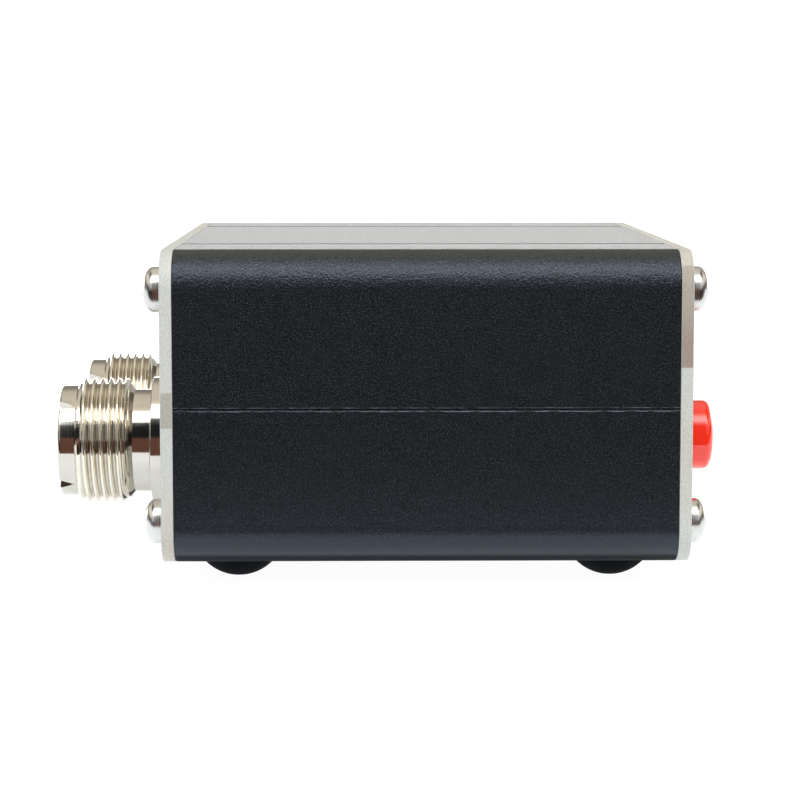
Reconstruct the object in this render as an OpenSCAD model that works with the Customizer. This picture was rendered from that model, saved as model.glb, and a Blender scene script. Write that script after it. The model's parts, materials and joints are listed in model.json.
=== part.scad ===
// Pocket standing-wave and power meter for two-way radio, in millimetres.
// A split extruded case between two end panels, with two coaxial sockets at the rear,
// a latching push button, a small display and a charging socket at the front.
// X runs across the case, the front panel faces -Y, the sockets face +Y, and Z is up from the table.

/* [Case] */
// Width of the extrusion
case_w = 88; // [84:1:100]
// Height of the extrusion, without the feet
case_h = 37.5; // [34:0.5:44]
// Length of the extrusion between the end panels
case_l = 60; // [58:1:80]
// Wall of the extrusion
wall_t = 1.8; // [1.6:0.1:2.2]
// Outside radius of the long edges
corner_r = 4.5; // [4:0.25:5.5]
// Bevel on both edges of the seam between the half shells
seam_bevel = 0.25; // [0.1:0.05:0.4]
// Height of the lip that the lower shell holds up inside the seam
lip_h = 2; // [1.5:0.25:3]
// Thickness of that lip
lip_t = 0.8; // [0.5:0.05:0.9]
// Distance of the shallow grooves from the middle of the roof and floor
groove_x = 26.5; // [20:0.5:27]
// Width of a groove
groove_w = 1.2; // [0.6:0.1:1.6]
// Depth of a groove
groove_d = 0.5; // [0.2:0.1:0.8]
// Depth of the rails that hold the main board
rail_d = 2; // [1.5:0.25:2.5]
// Thickness of a rail
rail_t = 1; // [0.8:0.1:1.2]

/* [End panels] */
// Thickness of both end panels
panel_t = 1.5; // [1.2:0.1:2]

/* [Panel screws] */
// Distance of the screws from the sides, roof and floor
screw_inset = 4.8; // [4.5:0.1:5.2]
// Radius of a screw's shank
screw_r = 1.45; // [1.2:0.05:1.5]
// Length of a screw's shank
screw_l = 8; // [6:0.5:12]
// Radius of a screw's head
screw_head_r = 2.7; // [2.4:0.1:3]
// Height of the straight side of the head
screw_side_h = 1.1; // [0.8:0.1:1.4]
// Height of the head's crown above its side
screw_crown_h = 1.2; // [0.8:0.1:1.4]
// Length of each arm of the cross recess, from tip to tip
recess_l = 3.2; // [2.6:0.1:3.6]
// Width of an arm of the cross recess
recess_w = 0.7; // [0.5:0.05:0.9]
// Depth of the cross recess
recess_d = 1.4; // [1:0.1:1.8]
// Wall of the screw bosses in the corners of the case
boss_wall = 1.1; // [0.9:0.1:1.3]

/* [Feet] */
// Radius of a rubber foot where it is stuck on
foot_r = 4.75; // [4:0.25:5]
// Height of a foot
foot_h = 2.8; // [2:0.1:4]
// Radius of the worn flat that a foot stands on
foot_flat_r = 1.3; // [0.8:0.1:2]
// Distance of the feet from the sides of the case
foot_inset_x = 12; // [8:0.5:14]
// Distance of the feet from the ends of the extrusion
foot_inset_y = 7.2; // [6:0.2:12]

/* [Sockets] */
// Distance between the axes of the two sockets
socket_spacing = 36; // [34:1:44]
// Height of the socket axes above the floor of the case
socket_z = 12; // [11.5:0.25:12.5]
// Major radius of the coupling thread
thread_r = 7.9375; // [7.9:0.0125:8]
// Pitch of the coupling thread
thread_pitch = 1.0583; // [1:0.0083:1.1]
// Radial depth of the thread
thread_d = 0.6; // [0.4:0.05:0.7]
// Length of the threaded stretch
thread_l = 7.45; // [6:0.05:10]
// Radius of the plain nose in front of the thread
nose_r = 7.05; // [6.8:0.05:7.2]
// Length of the nose
nose_l = 2.1; // [1.8:0.1:3]
// Width of the notches in the rim of the nose
notch_w = 1.35; // [0.8:0.05:1.6]
// Depth of the notches
notch_d = 1.5; // [0.8:0.1:1.7]
// Turn of the notches about the axis
notch_turn = 39.5; // [0:0.5:90]
// Radius of the plain neck behind the thread
neck_r = 6.55; // [6.4:0.05:6.8]
// Length of the neck
neck_l = 2.3; // [1.5:0.1:3]
// Radius of the collar that bears on the rear panel
collar_r = 8.1; // [7.5:0.1:9]
// Thickness of the collar
collar_l = 2.5; // [1.5:0.1:3]
// Radius of the barrel that passes through the rear panel
barrel_r = 6.35; // [6:0.05:6.5]
// Length of barrel left free behind the nut
barrel_spare = 1.5; // [1:0.25:2]

/* [Socket inner parts] */
// Radius of the seat that holds the insulator
seat_r = 5.7; // [5.4:0.05:5.8]
// Radius of the insulator's rear stretch
insulator_rear_r = 4; // [3.6:0.1:4.4]
// Depth of the insulator's face below the rim
insulator_recess = 1.5; // [0.5:0.1:2]
// Radius of the hole that takes the plug's centre pin
contact_bore_r = 2; // [1.9:0.05:2.1]
// Depth of that hole
contact_bore_l = 9; // [7:0.5:9.5]
// Outside radius of the contact tube
contact_r = 2.8; // [2.6:0.1:3.2]
// Width of the slits that make the tube springy
contact_slit_w = 0.5; // [0.3:0.05:0.6]
// Length of the slits
contact_slit_l = 6; // [4:0.5:6.5]
// Radius of the contact's solder cup
cup_r = 2; // [1.8:0.1:2.2]
// Length of the solder cup over the main board
cup_l = 6; // [5:0.5:8]
// Radius of the hole in the solder cup
cup_bore_r = 1.2; // [0.9:0.1:1.4]
// Depth of the hole in the solder cup
cup_bore_l = 4; // [3:0.5:4.5]
// Thickness of the lock washer
washer_t = 0.8; // [0.5:0.1:1]
// Outside radius of the lock washer
washer_r = 8.6; // [8:0.1:9]
// Thickness of the solder lug
lug_t = 0.5; // [0.4:0.1:0.8]
// Outside radius of the lug's ring
lug_r = 8.2; // [8:0.1:9]
// Height of the lug's tab
lug_tab_h = 3.5; // [2.5:0.25:4]
// Thickness of the nut
nut_t = 3; // [2.5:0.25:3.5]
// Width of the nut across its flats
nut_af = 17; // [16:0.5:18]

/* [Main board] */
// Thickness of the main board
board_t = 1.6; // [1.2:0.1:1.6]

/* [Push switch] */
// Distance of the button's axis from the left side of the case
button_inset = 14; // [12:0.5:17]
// Radius of the button cap
cap_r = 4.25; // [3.75:0.05:4.5]
// Height that the cap stands out of the front panel
button_out = 4; // [3.7:0.1:6]
// Travel of the button
button_travel = 2.2; // [1.5:0.1:2.5]
// Radius of the cap's rounded rim
cap_rim_r = 0.9; // [0.5:0.1:1.2]
// Crown of the cap's face
cap_crown_h = 0.5; // [0.2:0.1:0.8]
// Length of cap behind the front panel
cap_in = 2; // [1.5:0.1:2.5]
// Width of the flange that keeps the cap in
flange_w = 0.7; // [0.5:0.1:1]
// Thickness of that flange
flange_t = 0.8; // [0.5:0.1:1]
// Side of the plunger's square stem
stem_w = 3.4; // [3:0.1:3.6]
// Length of stem inside the cap
stem_grip = 4; // [3:0.25:4]
// Width and height of the switch body
switch_w = 8.2; // [8:0.1:8.6]
// Wall of the switch housing
switch_wall = 1.2; // [1:0.1:1.3]
// Length of the plunger's piston
piston_l = 3.5; // [3:0.25:4.5]
// Length of the return spring
spring_l = 5.5; // [5:0.25:8]
// Radius of the return spring's wire
spring_wire_r = 0.2; // [0.15:0.05:0.25]
// Radius of the return spring's coil
spring_coil_r = 1.6; // [1.2:0.1:1.8]
// Number of turns in the return spring
spring_turns = 5; // [4:1:6]
// Radius of a switch terminal
terminal_r = 0.4; // [0.3:0.05:0.5]
// Spacing of the switch terminals along the switch
terminal_pitch = 3; // [2.5:0.25:3.5]
// Length of terminal below the main board
terminal_below = 1.2; // [0.8:0.1:2]
// Radius of the latch pin's wire
latch_wire_r = 0.3; // [0.2:0.05:0.35]

/* [Display] */
// Width of the display's window
window_w = 24; // [20:0.5:26]
// Height of the display's window
window_h = 12.5; // [10:0.5:13.5]
// Corner radius of the window
window_r = 1; // [0.5:0.1:2]
// Width of the flange behind the window
window_flange_w = 1.5; // [1:0.1:1.5]
// Thickness of that flange
window_flange_t = 0.8; // [0.6:0.1:1.2]
// Width of the display's glass
glass_w = 26.7; // [24:0.1:26.8]
// Thickness of the display's glass
glass_t = 1.5; // [1.2:0.1:2]
// Width of the display's board
display_w = 35; // [30:0.5:40]
// Height of the display's board
display_h = 25; // [22:0.5:28]
// Thickness of the display's board
display_t = 1.2; // [1:0.1:1.6]
// Distance of the spacers from the edges of the display's board
spacer_inset = 2.3; // [2:0.1:2.4]
// Radius of a spacer
spacer_r = 1.75; // [1.6:0.05:1.8]
// Radius of the shank of a display screw
small_screw_r = 0.95; // [0.8:0.05:1]
// Length of the shank of a display screw
small_screw_l = 3.2; // [2.8:0.1:3.4]
// Radius of the head of a display screw
small_head_r = 1.8; // [1.6:0.1:2]
// Height of the head of a display screw
small_head_h = 1.3; // [1:0.1:1.5]
// Number of the display's pins
pin_count = 4; // [3:1:6]
// Spacing of the display's pins
pin_pitch = 2.54; // [2:0.01:2.54]
// Side of a square pin
pin_w = 0.64; // [0.5:0.02:0.64]
// Length of pin that lies on the main board
pin_on_board = 4; // [3:0.5:6]
// Depth and height of the header strip
header_d = 2.5; // [2:0.1:2.5]

/* [Charging socket] */
// Distance of the charging socket from the right side of the case
port_inset = 14; // [12:0.5:17]
// Width of the charging socket's shell
port_w = 8.94; // [8.9:0.02:9]
// Height of the shell
port_h = 3.26; // [3.2:0.02:3.3]
// Length of the shell
port_l = 7.35; // [7:0.05:9]
// Sheet of the shell
port_t = 0.3; // [0.2:0.05:0.35]
// Width of the tongue
tongue_w = 6.7; // [6:0.1:6.8]
// Thickness of the tongue
tongue_t = 0.7; // [0.6:0.05:0.8]
// Depth of the tongue's tip below the mouth of the shell
tongue_recess = 0.8; // [0.5:0.1:1.5]
// Depth of the moulding that carries the tongue
tongue_base_l = 2.2; // [1.5:0.1:2.5]

/* [Coupler] */
// Outside radius of a coupler core
core_r = 6.35; // [5.5:0.05:6.4]
// Inside radius of a coupler core
core_bore_r = 3.6; // [3.4:0.1:4]
// Thickness of a coupler core
core_t = 4.8; // [4:0.1:5]
// Thickness of the winding's wire
winding_d = 0.6; // [0.4:0.05:0.7]
// Number of turns on a core
winding_turns = 11; // [7:2:13]
// Angle between two turns
winding_step = 27; // [22:1:27]
// Distance between the two cores
core_pitch = 15.5; // [14.5:0.5:17]
// Radius of the line through a core
line_r = 1.2; // [1:0.1:1.5]
// Bend radius of that line
line_bend = 3; // [2.5:0.25:4]
// Distance between the feet of the sense line
sense_span = 16; // [14:0.5:20]

/* [Board parts] */
// Width, depth and height of the controller chip
controller_size = [8, 10, 2]; // [1:0.5:12]
// Width, depth and height of the charger chip
charger_size = [4, 5, 1.5]; // [1:0.5:8]
// Width, depth and height of the boost inductor
inductor_size = [6, 6, 3]; // [1:0.5:8]
// Width, depth and height of a load resistor
resistor_size = [6.4, 3.2, 0.6]; // [0.4:0.1:7]
// Radius of a detector diode
diode_r = 0.9; // [0.7:0.05:1.2]
// Length of a detector diode
diode_l = 4; // [3:0.25:5]
// Radius of the storage capacitor
capacitor_r = 4; // [3:0.25:5]
// Height of the storage capacitor
capacitor_h = 11.5; // [8:0.5:13]

/* [Battery] */
// Width of the battery
battery_w = 50; // [40:1:52]
// Length of the battery
battery_l = 36; // [30:1:36]
// Thickness of the battery
battery_t = 6.5; // [5:0.25:7]
// Radius of the battery's long edges
battery_edge_r = 2; // [1:0.25:2.25]
// Thickness of the foam pad between battery and roof
pad_t = 0.8; // [0.5:0.1:1.2]
// Margin of the battery around the pad
pad_margin = 3; // [2.5:0.5:6]
// Radius of a battery lead
lead_r = 0.6; // [0.4:0.05:0.7]
// Distance between the two leads
lead_pitch = 2.5; // [2:0.1:3]
// Bend radius of a lead
lead_bend = 2.5; // [2:0.25:4]
// Straight stretch of a lead where it leaves the battery
lead_out = 2; // [1:0.25:4]
// Width, depth and height of the battery plug
plug_size = [4.5, 6, 6]; // [4:0.25:7]
// Wall of the header that takes the plug
plug_wall = 0.8; // [0.6:0.1:1]
// Height of that header
plug_header_h = 5; // [4:0.25:5.5]

/* [Clearances] */
// Gap of a press or glue fit
fit_gap = 0.02; // [0.01:0.005:0.03]
// Gap of a part that slides or turns in another
run_gap = 0.06; // [0.04:0.01:0.1]
// Gap around a part that only passes through a hole
free_gap = 0.3; // [0.25:0.05:0.4]
// Room left between neighbours inside the case
room = 0.5; // [0.4:0.1:0.8]

/* [Hidden] */
$fn = 48;

// Overshoot of a cut past the surface it opens
cut = 1;

// Levels above the floor of the case and places along the case.
// The overall box, from the button's face to the sockets' rims, is centred on Y = 0.
socket_out = collar_l + neck_l + thread_l + nose_l;
middle_y = (button_out - socket_out) / 2;
front_y = middle_y - case_l / 2;
rear_y = middle_y + case_l / 2;
front_face_y = front_y - panel_t;
rear_face_y = rear_y + panel_t;
seam_z = case_h / 2;

// Corner screws
screw_x = case_w / 2 - screw_inset;
screw_dz = case_h / 2 - screw_inset;
screw_hole_r = screw_r + run_gap;
boss_r = screw_hole_r + boss_wall;

// Sockets, measured outwards from the outer face of the rear panel
tx_x = -socket_spacing / 2;
ant_x = socket_spacing / 2;
thread_at = collar_l + neck_l;
nose_at = thread_at + thread_l;
thread_root_r = thread_r - thread_d;
thread_turns = floor(thread_l / thread_pitch);
thread_crest_w = thread_pitch / 8;
insulator_face = socket_out - insulator_recess;
shoulder_at = collar_l / 2;
barrel_in = washer_t + lug_t + nut_t + barrel_spare;
barrel_l = panel_t + barrel_in;
cup_end_y = rear_y - barrel_in - cup_l;
lug_reach = nut_af / sqrt(3) + 2 * room + lug_t;

// Main board, which carries the solder cups
board_top = socket_z - cup_r;
board_bottom = board_top - board_t;
board_half_w = case_w / 2 - wall_t - free_gap;
board_front_y = front_y + room;
board_rear_y = rear_y - barrel_in - room;

// Push switch on the main board
button_x = -(case_w / 2 - button_inset);
button_z = board_top + switch_w / 2;
button_hole_r = cap_r + free_gap;
cap_l = button_out + panel_t + cap_in;
flange_r = cap_r + flange_w;
cap_rear_y = front_y + cap_in;
switch_front_y = cap_rear_y + button_travel + room;
piston_w = switch_w - 2 * switch_wall - 2 * run_gap;
chamber_l = run_gap + piston_l + spring_l + 2 * fit_gap;
switch_l = chamber_l + 2 * switch_wall;
switch_rear_y = switch_front_y + switch_l;
piston_front_y = switch_front_y + switch_wall + run_gap;
stem_tip_y = cap_rear_y - stem_grip;
terminal_x = switch_w / 4;
latch_y = switch_front_y + switch_wall + piston_l / 2;
latch_slot_l = 4 * latch_wire_r;
latch_leg_z = button_z + piston_w / 2 + run_gap;
latch_top_z = button_z + switch_w / 2;

// Display behind the front panel
display_z = case_h / 2;
glass_h = display_h - 2 * (spacer_inset + spacer_r + free_gap);
glass_y = front_y + window_flange_t + fit_gap;
display_y = glass_y + glass_t + fit_gap;
display_back_y = display_y + display_t;
spacer_x = display_w / 2 - spacer_inset;
spacer_dz = display_h / 2 - spacer_inset;
pin_z = board_top + pin_w / 2;
header_w = pin_count * pin_pitch;
notch_rear_y = display_back_y + header_d + room;
pin_tip_y = notch_rear_y + pin_on_board;
pins_x = [for (i = [0:pin_count - 1]) (i - (pin_count - 1) / 2) * pin_pitch];

// Charging socket on the main board
port_x = case_w / 2 - port_inset;
port_r = port_h / 2 - port_t / 2;
port_front_y = front_face_y + port_t;

// Coupler between the two sockets
core_z = board_top + core_r + fit_gap + winding_d;
line_y = cup_end_y - line_r - free_gap;
sense_y = line_y - core_pitch;
line_rise = core_z - board_top;

// Loose parts on the board
parts_y = pin_tip_y + room + controller_size[1] / 2;
resistor_y = line_y - core_r - room;
resistor_x = core_t / 2 + winding_d + room + resistor_size[0] / 2;
diode_x = sense_span / 2 + line_r + room + diode_l / 2;
capacitor_y = line_y - room;

// Battery under the roof
roof_z = case_h - wall_t;
battery_top = roof_z - pad_t;
battery_z = battery_top - battery_t / 2;
battery_y = rear_y - washer_r - room - battery_l / 2;
lead_x = battery_w / 2 + lead_out + lead_bend;
plug_floor = board_top + plug_wall;
plug_top = plug_floor + plug_size[2];

// Helpers

// Lift a child drawn from the case's floor to its height above the table
module lift() {
    translate([0, 0, foot_h]) children();
}

// Box between two corners, with heights measured from the case's floor
module block(low, high) {
    lift() translate(low) cube(high - low);
}

// Extrude an outline drawn in X and Z towards the front, from its rear face
module slab(rear, length) {
    translate([0, rear, foot_h]) rotate([90, 0, 0]) linear_extrude(height = length) children();
}

// Place a child with its own +Z turned to the rear
module face_rear(x, y, z) {
    lift() translate([x, y, z]) rotate([-90, 0, 0]) children();
}

// Place a child with its own +Z turned to the front
module face_front(x, y, z) {
    lift() translate([x, y, z]) rotate([90, 0, 0]) children();
}

// Rounded rectangle centred on X and standing on zero
module rounded_outline(w, h, r) {
    translate([-w / 2 + r, 0]) square([w - 2 * r, h]);
    translate([-w / 2, r]) square([w, h - 2 * r]);
    for (sx = [-1, 1], z = [r, h - r]) {
        translate([sx * (w / 2 - r), z]) circle(r);
    }
}

// Half of a circle's cap of a given half width and height, for crowns that are turned
module crown_outline(half_w, h) {
    ball_r = (half_w * half_w + h * h) / (2 * h);
    intersection() {
        translate([0, h - ball_r]) circle(ball_r);
        square([half_w, h]);
    }
}

// Repeat a child at both sides of the case
module both_sides() {
    children();
    mirror([1, 0, 0]) children();
}

// Repeat a child at the four corner screws, mirrored so that +X and +Y point out of the case
module at_screws() {
    for (mx = [0, 1], mz = [0, 1]) {
        translate([0, case_h / 2]) mirror([mx, 0]) mirror([0, mz]) translate([screw_x, screw_dz]) children();
    }
}

// Straight wire with a quarter bend at each end, standing on two feet
module bridge_wire(span, rise, bend, r) {
    both_sides() {
        translate([span / 2, 0, 0]) cylinder(r = r, h = rise - bend);
        translate([span / 2 - bend, 0, rise - bend]) rotate([90, 0, 0])
            rotate_extrude(angle = 90) translate([bend, 0]) circle(r);
    }
    translate([-span / 2 + bend, 0, rise]) rotate([0, 90, 0]) cylinder(r = r, h = span - 2 * bend);
}

// Round wire wound into a coil along +Z
module coil(turns, coil_r, wire_r, length) {
    sides = 8;
    steps = 16;
    rings = turns * steps;
    climb = (length - 2 * wire_r) / rings;
    points = [
        for (i = [0:rings], j = [0:sides - 1])
            let (a = 360 * i / steps, b = 360 * j / sides, r = coil_r + wire_r * cos(b))
                [r * cos(a), r * sin(a), wire_r + climb * i + wire_r * sin(b)]
    ];
    walls = [
        for (i = [0:rings - 1], j = [0:sides - 1])
            let (k = (j + 1) % sides)
                [i * sides + j, i * sides + k, (i + 1) * sides + k, (i + 1) * sides + j]
    ];
    first = [for (j = [sides - 1:-1:0]) j];
    last = [for (j = [0:sides - 1]) rings * sides + j];
    polyhedron(points, concat(walls, [first, last]));
}

// Case

module case_outline() {
    rounded_outline(case_w, case_h, corner_r);
}

module boss_outline() {
    circle(boss_r);
    translate([0, -boss_r]) square([screw_inset, 2 * boss_r]);
    translate([-boss_r, 0]) square([2 * boss_r, screw_inset]);
}

module groove_outline() {
    both_sides() {
        for (z = [-cut, case_h - groove_d]) {
            translate([groove_x - groove_w / 2, z]) square([groove_w, groove_d + cut]);
        }
    }
}

// Cross section of the whole extrusion, before it is parted at the seam
module shell_outline() {
    difference() {
        case_outline();
        difference() {
            translate([0, wall_t])
                rounded_outline(case_w - 2 * wall_t, case_h - 2 * wall_t, corner_r - wall_t);
            at_screws() boss_outline();
        }
        at_screws() circle(screw_hole_r);
        groove_outline();
        both_sides() {
            translate([case_w / 2, seam_z]) rotate(45) square(seam_bevel * sqrt(2), center = true);
        }
    }
}

module upper_shell() {
    color("#22262b") slab(rear_y, case_l) difference() {
        shell_outline();
        translate([-case_w, -case_h + seam_z]) square([2 * case_w, case_h]);
        both_sides() {
            translate([case_w / 2 - wall_t - cut, seam_z - cut])
                square([cut + lip_t + run_gap, cut + lip_h + run_gap]);
        }
    }
}

module lower_shell() {
    color("#22262b") slab(rear_y, case_l) {
        difference() {
            shell_outline();
            translate([-case_w, seam_z]) square([2 * case_w, case_h]);
        }
        both_sides() {
            translate([case_w / 2 - wall_t, seam_z - lip_h]) square([lip_t, 2 * lip_h]);
            for (z = [board_bottom - run_gap - rail_t, board_top + run_gap]) {
                translate([case_w / 2 - wall_t - rail_d, z]) square([rail_d + wall_t / 2, rail_t]);
            }
        }
    }
}

// End panels and their screws

module panel_outline() {
    difference() {
        case_outline();
        at_screws() circle(screw_r + free_gap);
    }
}

module front_panel() {
    color("#d2d1cc") slab(front_y, panel_t) difference() {
        panel_outline();
        translate([button_x, button_z]) circle(button_hole_r);
        translate([0, display_z - window_h / 2]) rounded_outline(window_w, window_h, window_r);
        translate([port_x, board_top - free_gap])
            rounded_outline(port_w + 2 * free_gap, port_h + 2 * free_gap, port_r + free_gap);
    }
}

module rear_panel() {
    color("#d2d1cc") slab(rear_face_y, panel_t) difference() {
        panel_outline();
        for (x = [tx_x, ant_x]) {
            translate([x, socket_z]) circle(barrel_r + free_gap);
        }
    }
}

// Pan-head screw with a cross recess, its head on +Z and its seat at zero
module panel_screw() {
    difference() {
        union() {
            translate([0, 0, -screw_l]) cylinder(r = screw_r, h = screw_l);
            rotate_extrude() {
                square([screw_head_r, screw_side_h]);
                translate([0, screw_side_h]) crown_outline(screw_head_r, screw_crown_h);
            }
        }
        for (turn = [0, 90]) {
            rotate(turn) translate([-recess_l / 2, -recess_w / 2, screw_side_h + screw_crown_h - recess_d])
                cube([recess_l, recess_w, recess_d + cut]);
        }
    }
}

module front_panel_screws() {
    color("#e4e2da") for (sx = [-1, 1], sz = [-1, 1]) {
        face_front(sx * screw_x, front_face_y, case_h / 2 + sz * screw_dz) panel_screw();
    }
}

module rear_panel_screws() {
    color("#e4e2da") for (sx = [-1, 1], sz = [-1, 1]) {
        face_rear(sx * screw_x, rear_face_y, case_h / 2 + sz * screw_dz) panel_screw();
    }
}

// Feet

// Domed rubber foot, glued to the floor of the case, with a flat to stand on
module rubber_foot(sx, sy) {
    x = sx * (case_w / 2 - foot_inset_x);
    y = middle_y + sy * (case_l / 2 - foot_inset_y);
    dome_z = (foot_r * foot_r + foot_h * foot_h - foot_flat_r * foot_flat_r) / (2 * foot_h);
    dome_r = sqrt(foot_flat_r * foot_flat_r + dome_z * dome_z);
    color("#17191c") translate([x, y, 0]) rotate_extrude() intersection() {
        translate([0, dome_z]) circle(dome_r);
        square([foot_r, foot_h]);
    }
}

module foot_front_left() { rubber_foot(-1, -1); }
module foot_front_right() { rubber_foot(1, -1); }
module foot_rear_left() { rubber_foot(-1, 1); }
module foot_rear_right() { rubber_foot(1, 1); }

// Sockets

// Half section of the turned shell: barrel, collar, neck, thread and nose
module socket_section() {
    translate([0, -barrel_l]) square([barrel_r, barrel_l + collar_l / 2]);
    square([collar_r, collar_l]);
    translate([0, collar_l]) square([neck_r, neck_l]);
    translate([0, thread_at]) square([thread_root_r, thread_l]);
    for (i = [0:thread_turns - 1]) {
        translate([thread_root_r, thread_at + (i + 0.5) * thread_pitch]) polygon([
            [-thread_d, -thread_pitch / 2], [0, -thread_pitch / 2], [thread_d, -thread_crest_w / 2],
            [thread_d, thread_crest_w / 2], [0, thread_pitch / 2], [-thread_d, thread_pitch / 2]
        ]);
    }
    translate([0, nose_at]) square([nose_r, nose_l]);
}

module socket_shell(x) {
    color("#dcd8cc") face_rear(x, rear_face_y, socket_z) difference() {
        rotate_extrude() difference() {
            socket_section();
            translate([0, collar_l]) square([seat_r, socket_out]);
            translate([0, -barrel_l - cut]) square([insulator_rear_r, barrel_l + cut + 2 * collar_l]);
        }
        for (i = [0:3]) {
            rotate(notch_turn + 90 * i) translate([0, 0, socket_out]) rotate([90, 0, 90])
                linear_extrude(height = collar_r)
                    polygon([[-notch_w / 2, 0], [0, -notch_d], [notch_w / 2, 0], [0, notch_d]]);
        }
    }
}

module socket_insulator(x) {
    color("#f3f1ea") face_rear(x, rear_face_y, socket_z) rotate_extrude() difference() {
        union() {
            translate([0, collar_l + fit_gap])
                square([seat_r - fit_gap, insulator_face - collar_l - fit_gap]);
            translate([0, -barrel_l]) square([insulator_rear_r - fit_gap, barrel_l + 2 * collar_l]);
        }
        translate([0, shoulder_at]) square([contact_r + fit_gap, socket_out]);
        translate([0, -barrel_l - cut]) square([cup_r + fit_gap, barrel_l + cut + collar_l]);
    }
}

module socket_contact(x) {
    cup_at = -barrel_l - cup_l;
    color("#d9b45c") face_rear(x, rear_face_y, socket_z) difference() {
        union() {
            translate([0, 0, cup_at]) cylinder(r = cup_r, h = shoulder_at + fit_gap - cup_at);
            translate([0, 0, shoulder_at + fit_gap])
                cylinder(r = contact_r, h = insulator_face - shoulder_at - fit_gap);
        }
        translate([0, 0, insulator_face - contact_bore_l])
            cylinder(r = contact_bore_r, h = contact_bore_l + cut);
        translate([0, 0, cup_at - cut]) cylinder(r = cup_bore_r, h = cup_bore_l + cut);
        for (turn = [45, 135]) {
            rotate(turn) translate([-contact_r - cut, -contact_slit_w / 2, insulator_face - contact_slit_l])
                cube([2 * (contact_r + cut), contact_slit_w, contact_slit_l + cut]);
        }
    }
}

// Lock washer with teeth on its inner edge
module socket_washer(x) {
    teeth = 12;
    tooth_gap = barrel_r * PI / teeth;
    tooth_l = (washer_r - barrel_r) / 2;
    color("#c9c6bd") face_front(x, rear_y, socket_z) difference() {
        cylinder(r = washer_r, h = washer_t);
        translate([0, 0, -cut]) cylinder(r = barrel_r + run_gap, h = washer_t + 2 * cut);
        for (i = [0:teeth - 1]) {
            rotate(360 * i / teeth) translate([0, -tooth_gap / 2, -cut])
                cube([barrel_r + tooth_l, tooth_gap, washer_t + 2 * cut]);
        }
    }
}

// Solder lug whose tab turns off towards the middle of the case and stands on the main board
module socket_lug(x) {
    ring_y = rear_y - washer_t;
    side = x < 0 ? 1 : -1;
    color("#d9b45c") translate([x, 0, 0]) mirror([side < 0 ? 1 : 0, 0, 0]) {
        difference() {
            union() {
                face_front(0, ring_y, socket_z) cylinder(r = lug_r, h = lug_t);
                block([0, ring_y - lug_t, board_top], [lug_reach, ring_y, board_top + lug_tab_h]);
            }
            face_front(0, ring_y + cut, socket_z) cylinder(r = barrel_r + run_gap, h = lug_t + 2 * cut);
        }
        block([lug_reach - lug_t, cup_end_y, board_top], [lug_reach, ring_y, board_top + lug_tab_h]);
    }
}

module socket_nut(x) {
    color("#d6d2c6") face_front(x, rear_y - washer_t - lug_t, socket_z) difference() {
        cylinder(r = nut_af / sqrt(3), h = nut_t, $fn = 6);
        translate([0, 0, -cut]) cylinder(r = barrel_r + run_gap, h = nut_t + 2 * cut);
    }
}

module transmitter_socket_shell() { socket_shell(tx_x); }
module transmitter_socket_insulator() { socket_insulator(tx_x); }
module transmitter_socket_contact() { socket_contact(tx_x); }
module transmitter_socket_washer() { socket_washer(tx_x); }
module transmitter_socket_lug() { socket_lug(tx_x); }
module transmitter_socket_nut() { socket_nut(tx_x); }
module antenna_socket_shell() { socket_shell(ant_x); }
module antenna_socket_insulator() { socket_insulator(ant_x); }
module antenna_socket_contact() { socket_contact(ant_x); }
module antenna_socket_washer() { socket_washer(ant_x); }
module antenna_socket_lug() { socket_lug(ant_x); }
module antenna_socket_nut() { socket_nut(ant_x); }

// Push switch

// Square post along Y, centred on the button's axis
module button_post(w, from_y, to_y) {
    block([button_x - w / 2, from_y, button_z - w / 2], [button_x + w / 2, to_y, button_z + w / 2]);
}

module button_cap() {
    face_l = cap_l - cap_crown_h;
    color("#f2452c") difference() {
        face_front(button_x, cap_rear_y, button_z) rotate_extrude() {
            square([flange_r, flange_t]);
            square([cap_r, face_l - cap_rim_r]);
            square([cap_r - cap_rim_r, face_l]);
            translate([cap_r - cap_rim_r, face_l - cap_rim_r]) intersection() {
                circle(cap_rim_r);
                square(cap_rim_r);
            }
            translate([0, face_l]) crown_outline(cap_r - cap_rim_r, cap_crown_h);
        }
        button_post(stem_w + 2 * fit_gap, stem_tip_y - fit_gap, cap_rear_y + cut);
    }
}

module switch_plunger() {
    color("#e9e7e0") {
        button_post(stem_w, stem_tip_y, piston_front_y + piston_l);
        button_post(piston_w, piston_front_y, piston_front_y + piston_l);
    }
}

// Housing with a chamber that is open below and a square window for the stem
module switch_housing() {
    half = switch_w / 2;
    color("#2b2d30") difference() {
        block([button_x - half, switch_front_y, board_top + switch_wall],
            [button_x + half, switch_rear_y, board_top + switch_w]);
        block([button_x - half + switch_wall, switch_front_y + switch_wall, board_top],
            [button_x + half - switch_wall, switch_rear_y - switch_wall, button_z + half - switch_wall]);
        button_post(stem_w + 2 * run_gap, switch_front_y - cut, switch_front_y + switch_wall + cut);
        // slot and hole for the legs of the latch pin, and the groove that it lies in
        block([button_x - latch_slot_l / 4, latch_y - latch_slot_l / 2, button_z],
            [button_x + latch_slot_l / 4, latch_y + latch_slot_l / 2, latch_top_z + cut]);
        translate([button_x, switch_rear_y - switch_wall / 2, latch_top_z + foot_h - switch_wall])
            cylinder(r = latch_wire_r + fit_gap, h = switch_wall + cut);
        block([button_x - latch_slot_l / 4, latch_y, latch_top_z - 2 * latch_wire_r],
            [button_x + latch_slot_l / 4, switch_rear_y - switch_wall / 2, latch_top_z + cut]);
    }
}

// Moulded base that closes the chamber and carries the terminals
module switch_base() {
    half = switch_w / 2;
    color("#c8a36a") difference() {
        block([button_x - half, switch_front_y, board_top],
            [button_x + half, switch_rear_y, board_top + switch_wall]);
        at_terminals() cylinder(r = terminal_r + fit_gap, h = 2 * switch_wall, center = true);
    }
}

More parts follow.
